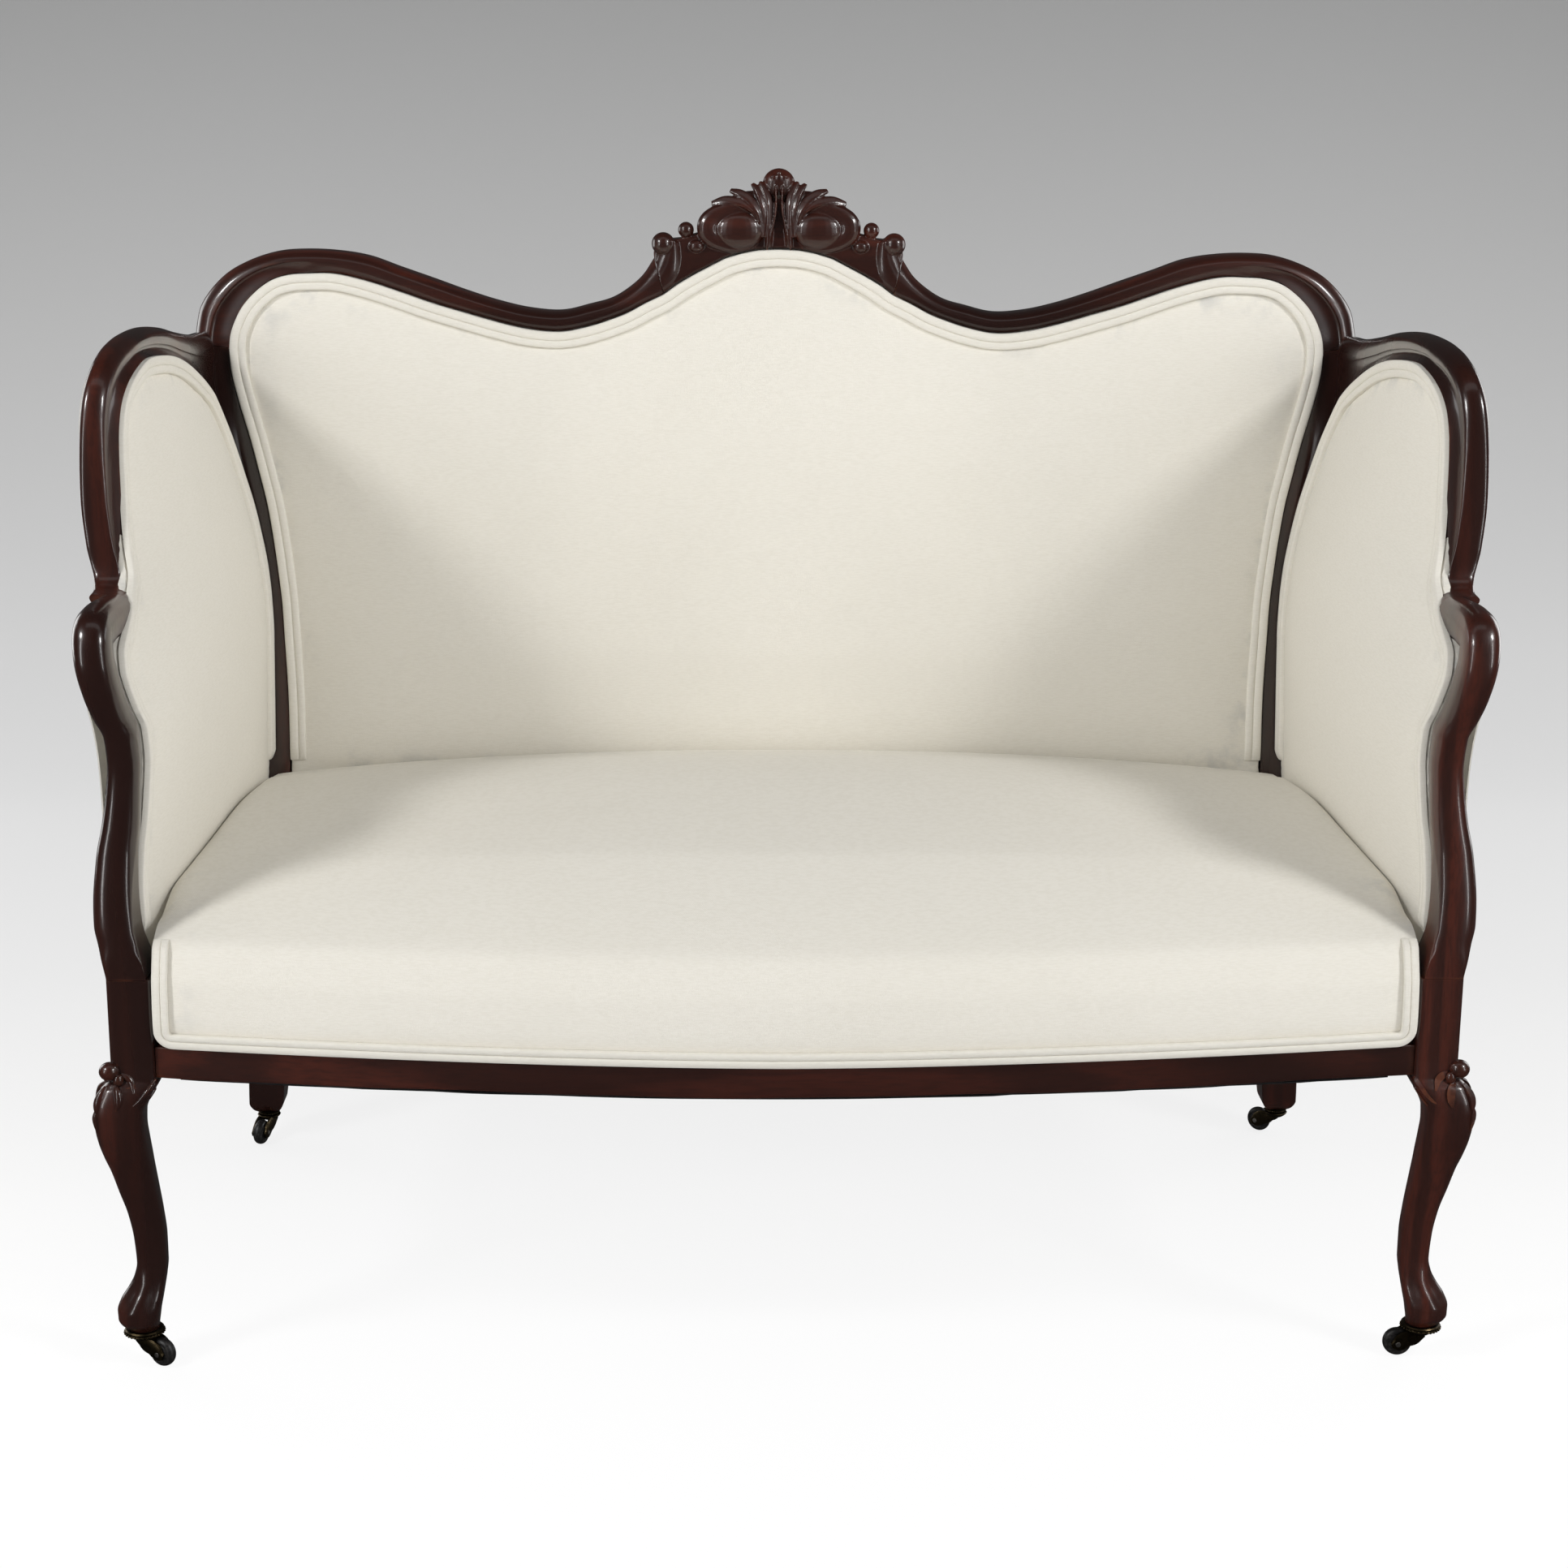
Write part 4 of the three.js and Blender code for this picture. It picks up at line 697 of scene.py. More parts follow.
# Double bead on the ear under the seat rail: reach in from the leg's axis, height, half width, rise
ear_bead_lines = [
    [(19.0, 270.5, 1.3, 1.0), (15.0, 265.5, 1.8, 1.6), (10.0, 258.5, 1.7, 1.5), (5.5, 254.0, 1.3, 1.0),
     (2.0, 251.5, 0.6, 0.3)],
    [(20.4, 264.5, 1.0, 0.8), (16.4, 259.0, 1.6, 1.4), (12.0, 253.0, 1.4, 1.2), (8.2, 248.0, 0.9, 0.4)],
]
leaf_section = [(-1, -0.7), (-1, 0), (-0.75, 0.5), (-0.4, 0.86), (0, 1), (0.4, 0.86), (0.75, 0.5), (1, 0),
                (1, -0.7)]
# Knot over the knee: height, stand-off and radii; its lobes: place beside, behind and below, and radii
knot_height = 279
knot_stand = 1.6
knot_radii = (9.0, 9.0, 8.2)
lobe_place = (7.4, 3.6, 7.6)
lobe_radii = (4.6, 4.6, 6.0)


def raised_line(probe, towards, rows, section, count=26):
    """Relief that follows the surface of a leg; rows hold a place, height, half width and rise."""
    rows = spline(rows, count)
    spots = [probe(*towards(place), z) for place, z in rows[:, :2]]
    path = np.array([s[0] for s in spots])
    normal = eased(np.array([s[1] for s in spots]), 4)
    return loft(sweep(eased(path, 3), rows[:, 2], rows[:, 3], normal, section))


def ball(centre, radii, columns=20, rows=12):
    """Closed round body with its own radius along X, Y and Z."""
    rise = np.linspace(-math.pi / 2, math.pi / 2, rows + 1)[1:-1]
    turn = np.arange(columns) / columns * 2 * math.pi
    centre, radii = np.asarray(centre, float), np.asarray(radii, float)
    grid = [[(math.cos(v) * math.cos(u), math.cos(v) * math.sin(u), math.sin(v)) for u in turn] for v in rise]
    points = [(0, 0, -1)] + [p for ring in grid for p in ring] + [(0, 0, 1)]
    faces = ring_faces(rows - 1, columns, first=1)
    faces += [[0, 1 + (c + 1) % columns, 1 + c] for c in range(columns)]
    top = len(points) - 1
    start = 1 + (rows - 2) * columns
    faces += [[top, start + c, start + (c + 1) % columns] for c in range(columns)]
    return np.array(points) * radii + centre, faces


def united(base, bodies, name, material):
    """Base body joined exactly with smaller ones that stand on it."""
    main = make_object(name, *base, material, sharp=0)
    extra = make_object(name + "_relief", *together(bodies), material, sharp=0)
    join = main.modifiers.new("join", "BOOLEAN")
    join.operation, join.solver, join.object, join.use_self = "UNION", "EXACT", extra, True
    applied(main)
    bpy.data.objects.remove(extra)
    main.data.set_sharp_from_angle(angle=crease)
    return main


def make_front_leg(name, side, material):
    """Cabriole leg with its block, knee leaf, scroll, ears and scooped toe."""
    base = loft(leg_rings(side))
    probe = surface_probe(*base)
    axis = (side * leg_axis, 0)

    def around(way):
        def towards(angle):
            turn = math.radians(-45 + way * angle if side > 0 else -135 - way * angle)
            return axis, (math.cos(turn), math.sin(turn))
        return towards
    bodies = []
    for rows in knee_leaf_lines:
        for way in (1, -1) if rows[1][0] > 5 else (1,):
            bodies.append(raised_line(probe, around(way), rows, leaf_section))
    for rows in ear_bead_lines:
        for towards in (lambda reach: ((side * (leg_axis - reach), 0), (0, -1)),
                        lambda reach: ((axis[0], reach), (side, 0))):
            bodies.append(raised_line(probe, towards, rows, leaf_section))
    corner, _ = probe(*around(1)(0), knot_height)
    outward = np.array([side * math.sqrt(0.5), -math.sqrt(0.5), 0])
    level = np.array([outward[1], -outward[0], 0])
    knot = corner + outward * knot_stand
    bodies.append(ball(knot, knot_radii, 24, 14))
    beside, behind, below = lobe_place
    for way in (1, -1):
        bodies.append(ball(knot + level * beside * way - outward * behind - [0, 0, below], lobe_radii))
    return united(base, bodies, name, material)


# Crest: lines in millimetres, as reach from the middle, height, stand-off from the back's plane,
# then half width and rise of the relief
crest_finger_lines = [
    [(10.5, 941, 3, 3.0, 2.5), (8.6, 968, 6, 3.4, 3.5), (10.2, 987, 5, 3.8, 3.6), (15.8, 1000, 2, 2.8, 2.6),
     (19.2, 1005.0, 0, 1.9, 1.4)],
    [(13.5, 951, 3, 3.0, 2.5), (13.0, 972, 6, 3.4, 3.6), (17.6, 989, 5, 4.0, 3.8), (23.2, 999, 2, 3.2, 3.0),
     (27.0, 1002.8, 0, 2.1, 1.7)],
    [(16.5, 958, 3, 3.0, 2.5), (19.8, 974, 6, 3.6, 3.6), (28.8, 986.5, 5, 4.6, 4.2), (39.5, 993.5, 3, 4.2, 3.6),
     (48.8, 996.2, 0, 2.3, 1.9)],
    [(19.0, 965, 3, 3.0, 2.5), (25.0, 976.5, 6, 3.4, 3.6), (37.5, 984.2, 6, 4.0, 4.0), (54.0, 986.6, 3, 4.2, 3.6),
     (67.4, 983.4, 0, 2.3, 1.9)],
]
crest_rib_line = [(3.4, 1001, 5, 0.9, 2.0), (3.0, 988, 8, 0.9, 2.4), (3.3, 977, 9, 0.9, 2.4),
                  (5.3, 965, 8, 0.9, 2.4), (8.2, 953, 6, 0.9, 2.2), (12.2, 938, 3, 0.9, 1.8)]
# Curl round the eye: its centre, its reach across and up, then stand-off, half width and rise
curl_centre = (42.0, 957.2)
curl_reach = (19.5, 15.21)
curl_relief = (3.6, 1.5, 2.6)
# Rounded masses on each side and on the crown: place across, height, stand-off and radii
crest_side_masses = [
    (40.0, 957.2, 0.6, (25.5, 11.5, 18.6)), (93.0, 957.4, -4, (8.0, 8.5, 8.0)),
    (82.5, 941.5, -1, (7.5, 6.0, 6.0)), (115.9, 943.8, -4, (11.6, 12.5, 11.4)),
    (41.0, 959.8, -6, (36, 12.5, 20)), (27.0, 980.0, -6, (24, 10.0, 16)),
]
crest_crown_masses = [(0, 1002.0, -6, (16.4, 11.5, 16.0)), (0, 1009.0, 3.2, (4.4, 3.4, 4.4))]
# Petals round the boss on the crown
petal_height = 1008.2
petal_reach = (5.6, 5.2)
petal_stand = 3.4
petal_radii = (2.5, 2.2, 2.5)
# Volute: turn in degrees, reach across and up from its eye, stand-off, half width, rise
crest_eye = (36.0, 959.8)
crest_volute_line = [
    (150, 22, 15, 2, 3.5, 3.0), (90, 29, 19.5, 3, 6.5, 4.0), (40, 34, 18, 3, 10.0, 5.6), (0, 35, 18, 3, 11.0, 6.0),
    (-35, 35, 18.5, 2, 9.4, 5.0), (-70, 32, 19.5, 1, 6.0, 3.2), (-100, 27, 19.5, 0, 3.0, 1.6),
    (-125, 22, 18.5, 0, 1.2, 0.6),
]
finger_section = [(-1, -3), (-1, 0), (-0.6, 0.34), (-0.1, 0.72), (0.3, 0.96), (0.6, 1.0), (0.86, 0.7), (1, 0.1),
                  (1, -3)]
roll_section = [(-1, -2), (-1, 0), (-0.8, 0.5), (-0.45, 0.86), (0, 1), (0.45, 0.86), (0.8, 0.5), (1, 0), (1, -2)]
# Rail end that turns up into the scroll: outer and inner points, shares of half width and height
crest_turn_shares = np.array([
    [0.2128, 0.9118, 0.1966, 0.8788], [0.2138, 0.9170, 0.1820, 0.8855], [0.2120, 0.9225, 0.1700, 0.8960],
    [0.2080, 0.9280, 0.1650, 0.9090], [0.2010, 0.9320, 0.1660, 0.9210], [0.1920, 0.9340, 0.1690, 0.9280],
])


def crest_points(rows):
    """Places on the crest: across, height and stand-off in front of the back's plane."""
    rows = np.asarray(rows, float)
    return on_back(rows[:, 0], rows[:, 1], -rows[:, 2])


def crest_line(rows, section, side, count=40):
    rows = spline(rows, count)
    rows[:, 0] *= side
    shape = [(side * a, b) for a, b in section]
    return loft(sweep(crest_points(rows[:, :3]), rows[:, 3], rows[:, 4], (0, -1, 0), shape))


def crest_ball(x, z, stand, radii):
    return ball(crest_points([(x, z, stand)])[0], radii, 24, 14)


def crest_half(side):
    """Fingers, rib, volute, curl, rounded masses and turned rail end on one side of the crest."""
    bodies = [crest_line(rows, finger_section, side) for rows in crest_finger_lines]
    bodies.append(crest_line(crest_rib_line, roll_section, side))
    turns = spline(crest_volute_line, 140)[::7]
    angle = np.radians(turns[:, 0])
    reach = turns[:, 1:3] * np.column_stack([np.cos(angle), np.sin(angle)])
    bodies.append(crest_line(np.column_stack([crest_eye + reach, turns[:, 3:]]), roll_section, side, 120))
    angle = np.radians(np.arange(100, 265, 15))
    reach = np.column_stack([np.cos(angle), np.sin(angle)]) * curl_reach
    relief = np.tile(curl_relief, (len(angle), 1))
    bodies.append(crest_line(np.column_stack([curl_centre + reach, relief]), roll_section, side, 60))
    bodies += [crest_ball(side * x, *rest) for x, *rest in crest_side_masses]
    rings = back_rail(spline(crest_turn_shares * back_scale, 40), side, lambda width, share: moulded(
        width, half_back - 3, ridge=0.5 * width, crest=-half_back - 1.5 - 2 * share, face_end=3 - half_back,
        cove=-1.5, back_round=5, start=0, sharp=0.85))
    return bodies + [loft(rings)]


def make_crest(name, material, voxel):
    """Carved crest: plate, leaf fingers, ribs, volutes and scrolls, cut as one block."""
    lower = crest_lower_shares * [back_half_width, overall_height] + [0, seam]
    upper = crest_plate_shares * [back_half_width, overall_height]
    half = np.vstack([lower[::-1][1:], upper[:-1]])
    outline = np.vstack([lower[-1:], half, upper[-1:], mirrored(half, -1)[::-1]])
    inner, _ = offset_line(outline, 1.2)
    rings = [on_back(line[:, 0], line[:, 1], behind) for line, behind in (
        (inner, crest_thickness), (outline, crest_thickness - 1.5), (outline, 3.5), (inner, 2.0))]
    bodies = [loft(rings), *crest_half(1), *crest_half(-1), *[crest_ball(*mass) for mass in crest_crown_masses]]
    for angle in np.radians(90 + 72 * np.arange(5)):
        bodies.append(crest_ball(petal_reach[0] * math.cos(angle), petal_height + petal_reach[1] * math.sin(angle),
                                 petal_stand, petal_radii))
    block = make_object(name, *together(bodies), material, sharp=0)
    carve = block.modifiers.new("carve", "REMESH")
    carve.mode, carve.voxel_size, carve.use_smooth_shade = "VOXEL", voxel * MM, True
    soften = block.modifiers.new("soften", "SMOOTH")
    soften.factor, soften.iterations = 0.5, 2
    return applied(block)


# Seat rails
def make_front_rail():
    stations = np.linspace(-1, 1, 121)
    step = rail_bottom + show_wood
    rings = []
    for share in stations:
        x = share * rail_half
        y = float(rail_front(x))
        worn = 0.5 * math.sin(9 * share) + 0.3 * math.sin(23 * share + 1)
        section = rounded([
            (y, rail_bottom + worn, 2.2, 2.2), (y, step, 1.0, 1.0), (y + rail_rebate, step, 0.4, 0.4),
            (y + rail_rebate, rail_top, 0.6, 0.6), (y + rail_thickness, rail_top, 0.6, 0.6),
            (y + rail_thickness, rail_bottom, 1.0, 1.0)], 5)
        rings.append(np.column_stack([np.full(len(section), x), section]))
    return loft(rings)


def make_side_rail(side):
    half = rail_thickness / 2
    section = rounded([(half, rail_bottom, 1.8, 1.8), (half, rail_top, 0.8, 0.8),
                       (-half, rail_top, 0.8, 0.8), (-half, rail_bottom, 1.2, 1.2)], 5)
    rings = []
    for y in np.linspace(half_block + seam, back_depth - seam, 24):
        middle = side_middle(y, rail_bottom)
        rings.append(np.column_stack([
            side * (middle + section[:, 0]), np.full(len(section), y), section[:, 1]]))
    return loft(rings)


def post_inner_at(z):
    return back_half_width * np.interp(np.asarray(z) / overall_height, post_shares[:, 0], post_shares[:, 2])


def make_rear_rail():
    near, far = 4, 4 + rail_thickness - rail_rebate
    section = rounded([(near, rail_bottom, 0.8, 0.8), (near, rail_top, 0.8, 0.8),
                       (far, rail_top, 0.8, 0.8), (far, rail_bottom, 1.8, 1.8)], 5)
    rings = []
    for share in np.linspace(-1, 1, 25):
        reach = post_inner_at(section[:, 1]) - seam
        rings.append(np.column_stack([share * reach, back_front(section[:, 1]) + section[:, 0], section[:, 1]]))
    return loft(rings)


# Upholstery
def anticlockwise(points):
    p = np.asarray(points, float)
    q = np.roll(p, -1, axis=0)
    area = (p[:, 0] * q[:, 1] - p[:, 1] * q[:, 0]).sum()
    return p if area > 0 else p[::-1]


def inset_ring(points, distance):
    """Closed line moved inwards, with as many points as before."""
    moved, good = offset_line(points, distance)
    kept, count = np.flatnonzero(good), len(points)
    places = np.concatenate([kept - count, kept, kept + count])
    return np.column_stack([
        np.interp(np.arange(count), places, np.tile(moved[kept, k], 3)) for k in (0, 1)])


def inside_line(points, line):
    """Which flat points lie inside a closed line."""
    x, y = points[:, 0], points[:, 1]
    found = np.zeros(len(points), bool)
    for (ax, ay), (bx, by) in zip(line, np.roll(line, -1, axis=0)):
        if ay != by:
            found ^= ((ay > y) != (by > y)) & (x < ax + (y - ay) * (bx - ax) / (by - ay))
    return found


def filled(line, pitch):
    """Flat area inside a closed line as points and triangles on an even net."""
    low, high = line.min(0), line.max(0)
    net = []
    for k, level in enumerate(np.arange(low[1], high[1], pitch * math.sqrt(0.75))):
        across = np.arange(low[0] + (k % 2) * pitch / 2, high[0], pitch)
        net.append(np.column_stack([across, np.full(len(across), level)]))
    net = np.vstack(net)
    net = net[inside_line(net, inset_ring(line, 0.55 * pitch))]
    count = len(line)
    edges = [(k, (k + 1) % count) for k in range(count)]
    points = [Vector(p) for p in np.vstack([line, net])]
    result = delaunay_2d_cdt(points, edges, [list(range(count))], 1, 1e-4)
    return np.array([tuple(p) for p in result[0]]), [list(f) for f in result[2]]


def netted(outline, pitch):
    """Closed line at an even pitch, with the points and triangles that fill it."""
    length = np.linalg.norm(np.roll(outline, -1, axis=0) - outline, axis=1).sum()
    line = resample(anticlockwise(outline), int(length / pitch), closed=True)
    return line, *filled(line, pitch)


def layered(front, rear, faces):
    """Closed body between two layers of points that share a net of faces."""
    count = len(front)
    edges = dict.fromkeys((a, b) for face in faces for a, b in zip(face, face[1:] + face[:1]))
    body = faces + [[i + count for i in face[::-1]] for face in faces]
    body += [[b, a, a + count, b + count] for a, b in edges if (b, a) not in edges]
    return np.vstack([front, rear]), body


def kept_run(keep):
    """Numbers of the points of a closed line that are kept, in order from where the kept stretch starts."""
    kept = np.flatnonzero(keep)
    jump = np.flatnonzero(np.diff(kept) > 1)
    return np.roll(kept, -(jump[0] + 1)) if len(jump) else kept


def pillow(points, margin, step=6.0, turns=1500):
    """Share of a panel's full rise at flat points: none at the margin, all in the middle."""
    low = margin.min(0) - 2 * step
    shape = ((margin.max(0) + 2 * step - low) / step).astype(int) + 1
    grid = np.stack(np.meshgrid(*(low[k] + step * np.arange(shape[k]) for k in (0, 1)), indexing="ij"), -1)
    inside = inside_line(grid.reshape(-1, 2), margin).reshape(shape)
    rise = np.zeros(shape)
    for _ in range(turns):
        near = rise[:-2, 1:-1] + rise[2:, 1:-1] + rise[1:-1, :-2] + rise[1:-1, 2:]
        rise[1:-1, 1:-1] = inside[1:-1, 1:-1] * (near / 4 + 1)
    place = (points - low) / step
    i = np.clip(place.astype(int), 0, shape - 2)
    (x, y), (s, t) = i.T, np.clip(place - i, 0, 1).T
    value = (rise[x, y] * (1 - s) * (1 - t) + rise[x + 1, y] * s * (1 - t)
             + rise[x, y + 1] * (1 - s) * t + rise[x + 1, y + 1] * s * t)
    return value / rise.max()


def panel(outline, place, edge, back, crown, pitch):
    """Padded panel: flat behind, a level margin for the piping, then a crown."""
    line, points, faces = netted(outline, pitch)
    margin = eased(inset_ring(resample(line, 400, closed=True), piping_width + 5 * seam), 8, closed=True)
    rise = pillow(points, margin) ** 0.55
    front = place(points[:, 0], points[:, 1], -edge - crown * rise)
    rear = place(points[:, 0], points[:, 1], np.full(len(points), float(back)))
    return *layered(front, rear, faces), np.concatenate([rise, np.zeros(len(points))])


def back_outline():
    post = spline(post_line[:, 2:], 120)
    post = post[post[:, 1] > back_pad_bottom]
    foot = [[np.interp(back_pad_bottom, post_line[:, 3], post_line[:, 2]), back_pad_bottom]]
    half = np.vstack([foot, post, spline(top_rail_line[:, 2:], 180)[1:],
                      crest_lower_shares * [back_half_width, overall_height]])
    line = np.vstack([half, mirrored(half[:-1], -1)[::-1]])
    return inset_ring(resample(anticlockwise(line), 1400, closed=True), 2 * seam)


def arm_inner_edge():
    line, along, sizes = arm_stations(180)
    return line + np.column_stack([along[:, 1], -along[:, 0]]) * sizes[:, 1:] / 2


# Edge of the side panel where it laps over the arm and the foot of the wing: shares as for the wing
pad_notch_shares = np.array([
    [0.038, -0.250], [0.050, -0.185], [0.085, -0.125], [0.120, -0.072], [0.160, 0.000], [0.194, 0.055],
    [0.210, 0.140], [0.221, 0.235], [0.2335, 0.340], [0.2425, 0.430],
])


def side_outline():
    notch = pad_notch_shares * [side_depth, wing_rise] + [0, arm_top]
    arm_inner = arm_inner_edge()
    arm_inner = np.vstack([arm_inner[arm_inner[:, 1] < notch[0, 1] - 6], spline(notch, 50)])
    wing_inner = spline(wing_line[:, 2:], 170)
    wing_inner = wing_inner[np.argmax(wing_inner[:, 1] > notch[-1, 1] + 6):]
    low = pad_floor - seam
    levels = np.linspace(wing_inner[-1, 1], low, 60)[1:]
    rear = np.column_stack([back_front(np.maximum(levels, rake_height)), levels])
    edge = np.vstack([wing_inner[1:], rear])
    turn = slice(len(wing_inner) - 22, len(wing_inner) + 18)
    edge[turn] = eased(edge[turn], 60)
    line = np.vstack([[[half_block, low], [half_block, leg_top]], arm_inner[1:], edge])
    return inset_ring(resample(anticlockwise(line), 1400, closed=True), seam)


def noted(mesh, name, values):
    """Keeps a value at each point of a mesh, for its material to read."""
    note = mesh.attributes.new(name, "FLOAT", "POINT")
    note.data.foreach_set("value", np.asarray(values).astype(np.float32))


def inflated(piece, free, most, pressure=4.0, frames=20):
    """Lets air press the free part of a cover outwards, by a few millimetres at most, and keeps that shape."""
    scene = bpy.context.scene
    held = piece.vertex_groups.new(name="held")
    start = np.array([v.co for v in piece.data.vertices])
    for index, share in enumerate(free):
        held.add([index], float(max(0, 1 - share)), "REPLACE")
    cloth = piece.modifiers.new("cloth", "CLOTH")
    settings = cloth.settings
    settings.quality, settings.mass = 5, 0.4
    settings.tension_stiffness = settings.compression_stiffness = 20
    settings.shear_stiffness, settings.bending_stiffness = 12, 1.2
    settings.effector_weights.gravity = 0
    settings.use_pressure, settings.uniform_pressure_force = True, pressure
    settings.vertex_group_mass, settings.pin_stiffness = "held", 1
    cloth.point_cache.frame_start, cloth.point_cache.frame_end = 1, frames
    for frame_number in range(1, frames + 1):
        scene.frame_set(frame_number)
    posed = piece.evaluated_get(bpy.context.evaluated_depsgraph_get())
    moved = np.array([v.co for v in posed.to_mesh().vertices]) - start
    posed.to_mesh_clear()
    piece.modifiers.clear()
    scene.frame_set(1)
    length = np.linalg.norm(moved, axis=1)
    moved *= np.minimum(1, most * MM / np.maximum(length, 1e-9))[:, None]
    moved[free <= 0] = 0
    piece.data.vertices.foreach_set("co", (start + moved).ravel())
    piece.vertex_groups.clear()


def stuffed(name, outline, place, edge, back, crown, sizes, material):
    """Padded panel whose cover swells a little and is then divided smoothly."""
    points, faces, rise = panel(outline, place, edge, back, crown, sizes.panel_net / MM)
    pad = make_object(name, points, faces, material, sharp=math.radians(60))
    inflated(pad, np.where(rise > 0.02, np.clip(rise * 3, 0, 1), 0), sizes.swell / MM)
    noted(pad.data, "from_edge", rise)
    finer = pad.modifiers.new("finer", "SUBSURF")
    finer.levels = finer.render_levels = 1
    return applied(pad)


def piping_section(width, height=6.2, split=0.54):
    """Two cords side by side: a flat foot with two rounded humps and a groove between."""
    humps = []
    for low, high, size in ((0.0, split, 1.0), (split, 1.0, 0.93)):
        middle, half = (low + high) / 2 * width, (high - low) / 2 * width
        for angle in np.linspace(168, 12, 11):
            a = math.radians(angle)
            humps.append((middle + half * 1.02 * math.cos(a), height * size * (0.66 + 0.34 * math.sin(a))))
    return np.array([(width, 0.0), *humps[::-1], (0.0, 0.0)])


def piping_sections(count, taper):
    """Section of double piping at each of many stations, drawn in over the last few at both ends."""
    def section(width, share):
        end = min(share, 1 - share) * count
        return piping_section(width) * [1, math.sqrt(max(0.02, min(1, (end + 0.3) / taper)))]
    return section


def piping_band(outline, keep, place, edge):
    """Double piping on a panel's margin, from one foot round to the other."""
    line = resample(outline, 900, closed=True)
    outer, inner = (inset_ring(line, d) for d in (seam, seam + piping_width))
    inner = eased(inner, 4, closed=True)
    order = kept_run(keep(line))
    return loft(band(outer[order], inner[order], piping_sections(len(order), 5),
                     lambda a, b, h: place(a, b, -edge - 2 * seam - h)))


def make_side_piping(side):
    def keep(line):
        return line[:, 1] > np.where(line[:, 0] < back_depth / 2, side_piping_foot, rear_piping_foot)
    return piping_band(side_outline(), keep, on_side(side), pad_depth)


def make_back_piping():
    return piping_band(back_outline(), lambda line: line[:, 1] > back_piping_foot, on_back, 0)


apron_low = rail_bottom + show_wood + seam
apron_high = pad_floor + seat_crown * seat_line_shares[0, 1]


def seat_face(x, z):
    share = (np.asarray(z, float) - apron_low) / (apron_high - apron_low)
    return rail_front(x) + seat_face_swell * smooth_at(seat_face_shares, share)


def reach_to(tree, start, way, limit):
    """Distance in millimetres from a place to the nearest surface in a direction."""
    spot = Vector(placed([start])[0])
    hit = tree.ray_cast(spot, Vector(way))
    return min(limit, (hit[0] - spot).length / MM) if hit[0] is not None else limit


def seat_edge(depth):
    """Height of the seat's side edge at a share of its depth."""
    return pad_floor + seat_crown * smooth_at(seat_line_shares, np.array([depth]))[0]


def seat_side_reach(depths, side_tree, front_y, top):
    """How far the seat reaches sideways at each share of its depth, clear of the side panels."""
    reach = []
    for depth in depths:
        y = front_y + depth * (back_depth - front_y)
        free = reach_to(side_tree, (0, y, seat_edge(depth)), (1, 0, 0), top + 60) - seat_fit
        reach.append(top if y < half_block - 2 else min(top, free))
    return np.minimum(eased(np.array(reach)[:, None], 3)[:, 0], reach)


def make_seat(name, material, back_tree, side_tree):
    """Crowned seat in one piece with its front apron, fitted between the padded panels."""
    near_end = 1 - np.geomspace(0.002, 0.06, 7)
    shares = np.unique(np.round([-1, *-near_end, *np.linspace(-0.93, 0.93, 125), *near_end, 1], 6))
    face_rise = np.linspace(0, 1, 22)
    depths = np.concatenate([np.linspace(0, 0.06, 12)[1:], np.linspace(0.06, 0.97, 70)[1:],
                             [0.98, 0.988, 0.994, 1.0]])
    top = rail_half - seam
    side_reach = seat_side_reach(depths, side_tree, rail_front(rail_half) + seat_nose, top)
    rings = []
    for share in shares:
        at_front = share * top
        across = 1 - abs(share) ** seat_crown_power
        roll = max(0.0, (abs(share) - 0.975) / 0.025) ** 2
        beyond = max(0.0, abs(at_front) - top + piping_corner)
        low_z = apron_low + piping_corner - math.sqrt(max(0.0, piping_corner ** 2 - beyond ** 2))
        z = low_z + face_rise * (apron_high - low_z)
        face = np.column_stack([np.full(len(z), at_front), seat_face(at_front, z), z])
        last_y = rail_front(at_front) + seat_nose
        z_rear = pad_floor + seat_crown * seat_line_shares[-1, 1] + seat_centre_rise * across
        rear = 100 - seat_fit + reach_to(
            back_tree, (0.97 * at_front, 100, z_rear), (0, 1, 0), back_depth - 100)
        line = []
        for depth, reach in zip(depths, side_reach):
            rise = seat_centre_rise * across * min(1, depth / seat_roll_share)
            tuck = side_tuck * roll * smoothstep(depth, 0.05, 0.12) + rear_tuck * smoothstep(depth, 0.965, 1.0) ** 2
            line.append((share * reach, last_y + depth * (rear - last_y), seat_edge(depth) + rise - tuck))
        low = [(share * side_reach[-1], rear, pad_floor + rise) for rise in (30, 0)]
        shelf = rail_front(at_front) + rail_rebate - seam
        under = [(share * top, shelf, pad_floor), (at_front, shelf, low_z)]
        rings.append(np.vstack([face, line, low, under]))
    seat = make_object(name, *loft(rings), material, sharp=math.radians(50))
    spots = np.array([v.co for v in seat.data.vertices]) / MM
    # Lower towards the back and the sides of the seat, where the cover greys in blotches
    rear = np.clip((1.1 * back_depth - spots[:, 1] + depth_datum) / 260, 0.2, 1)
    beside = np.clip((rail_half - np.abs(spots[:, 0])) / 120, 0.2, 1)
    noted(seat.data, "from_edge", np.minimum(rear, beside))
    return seat


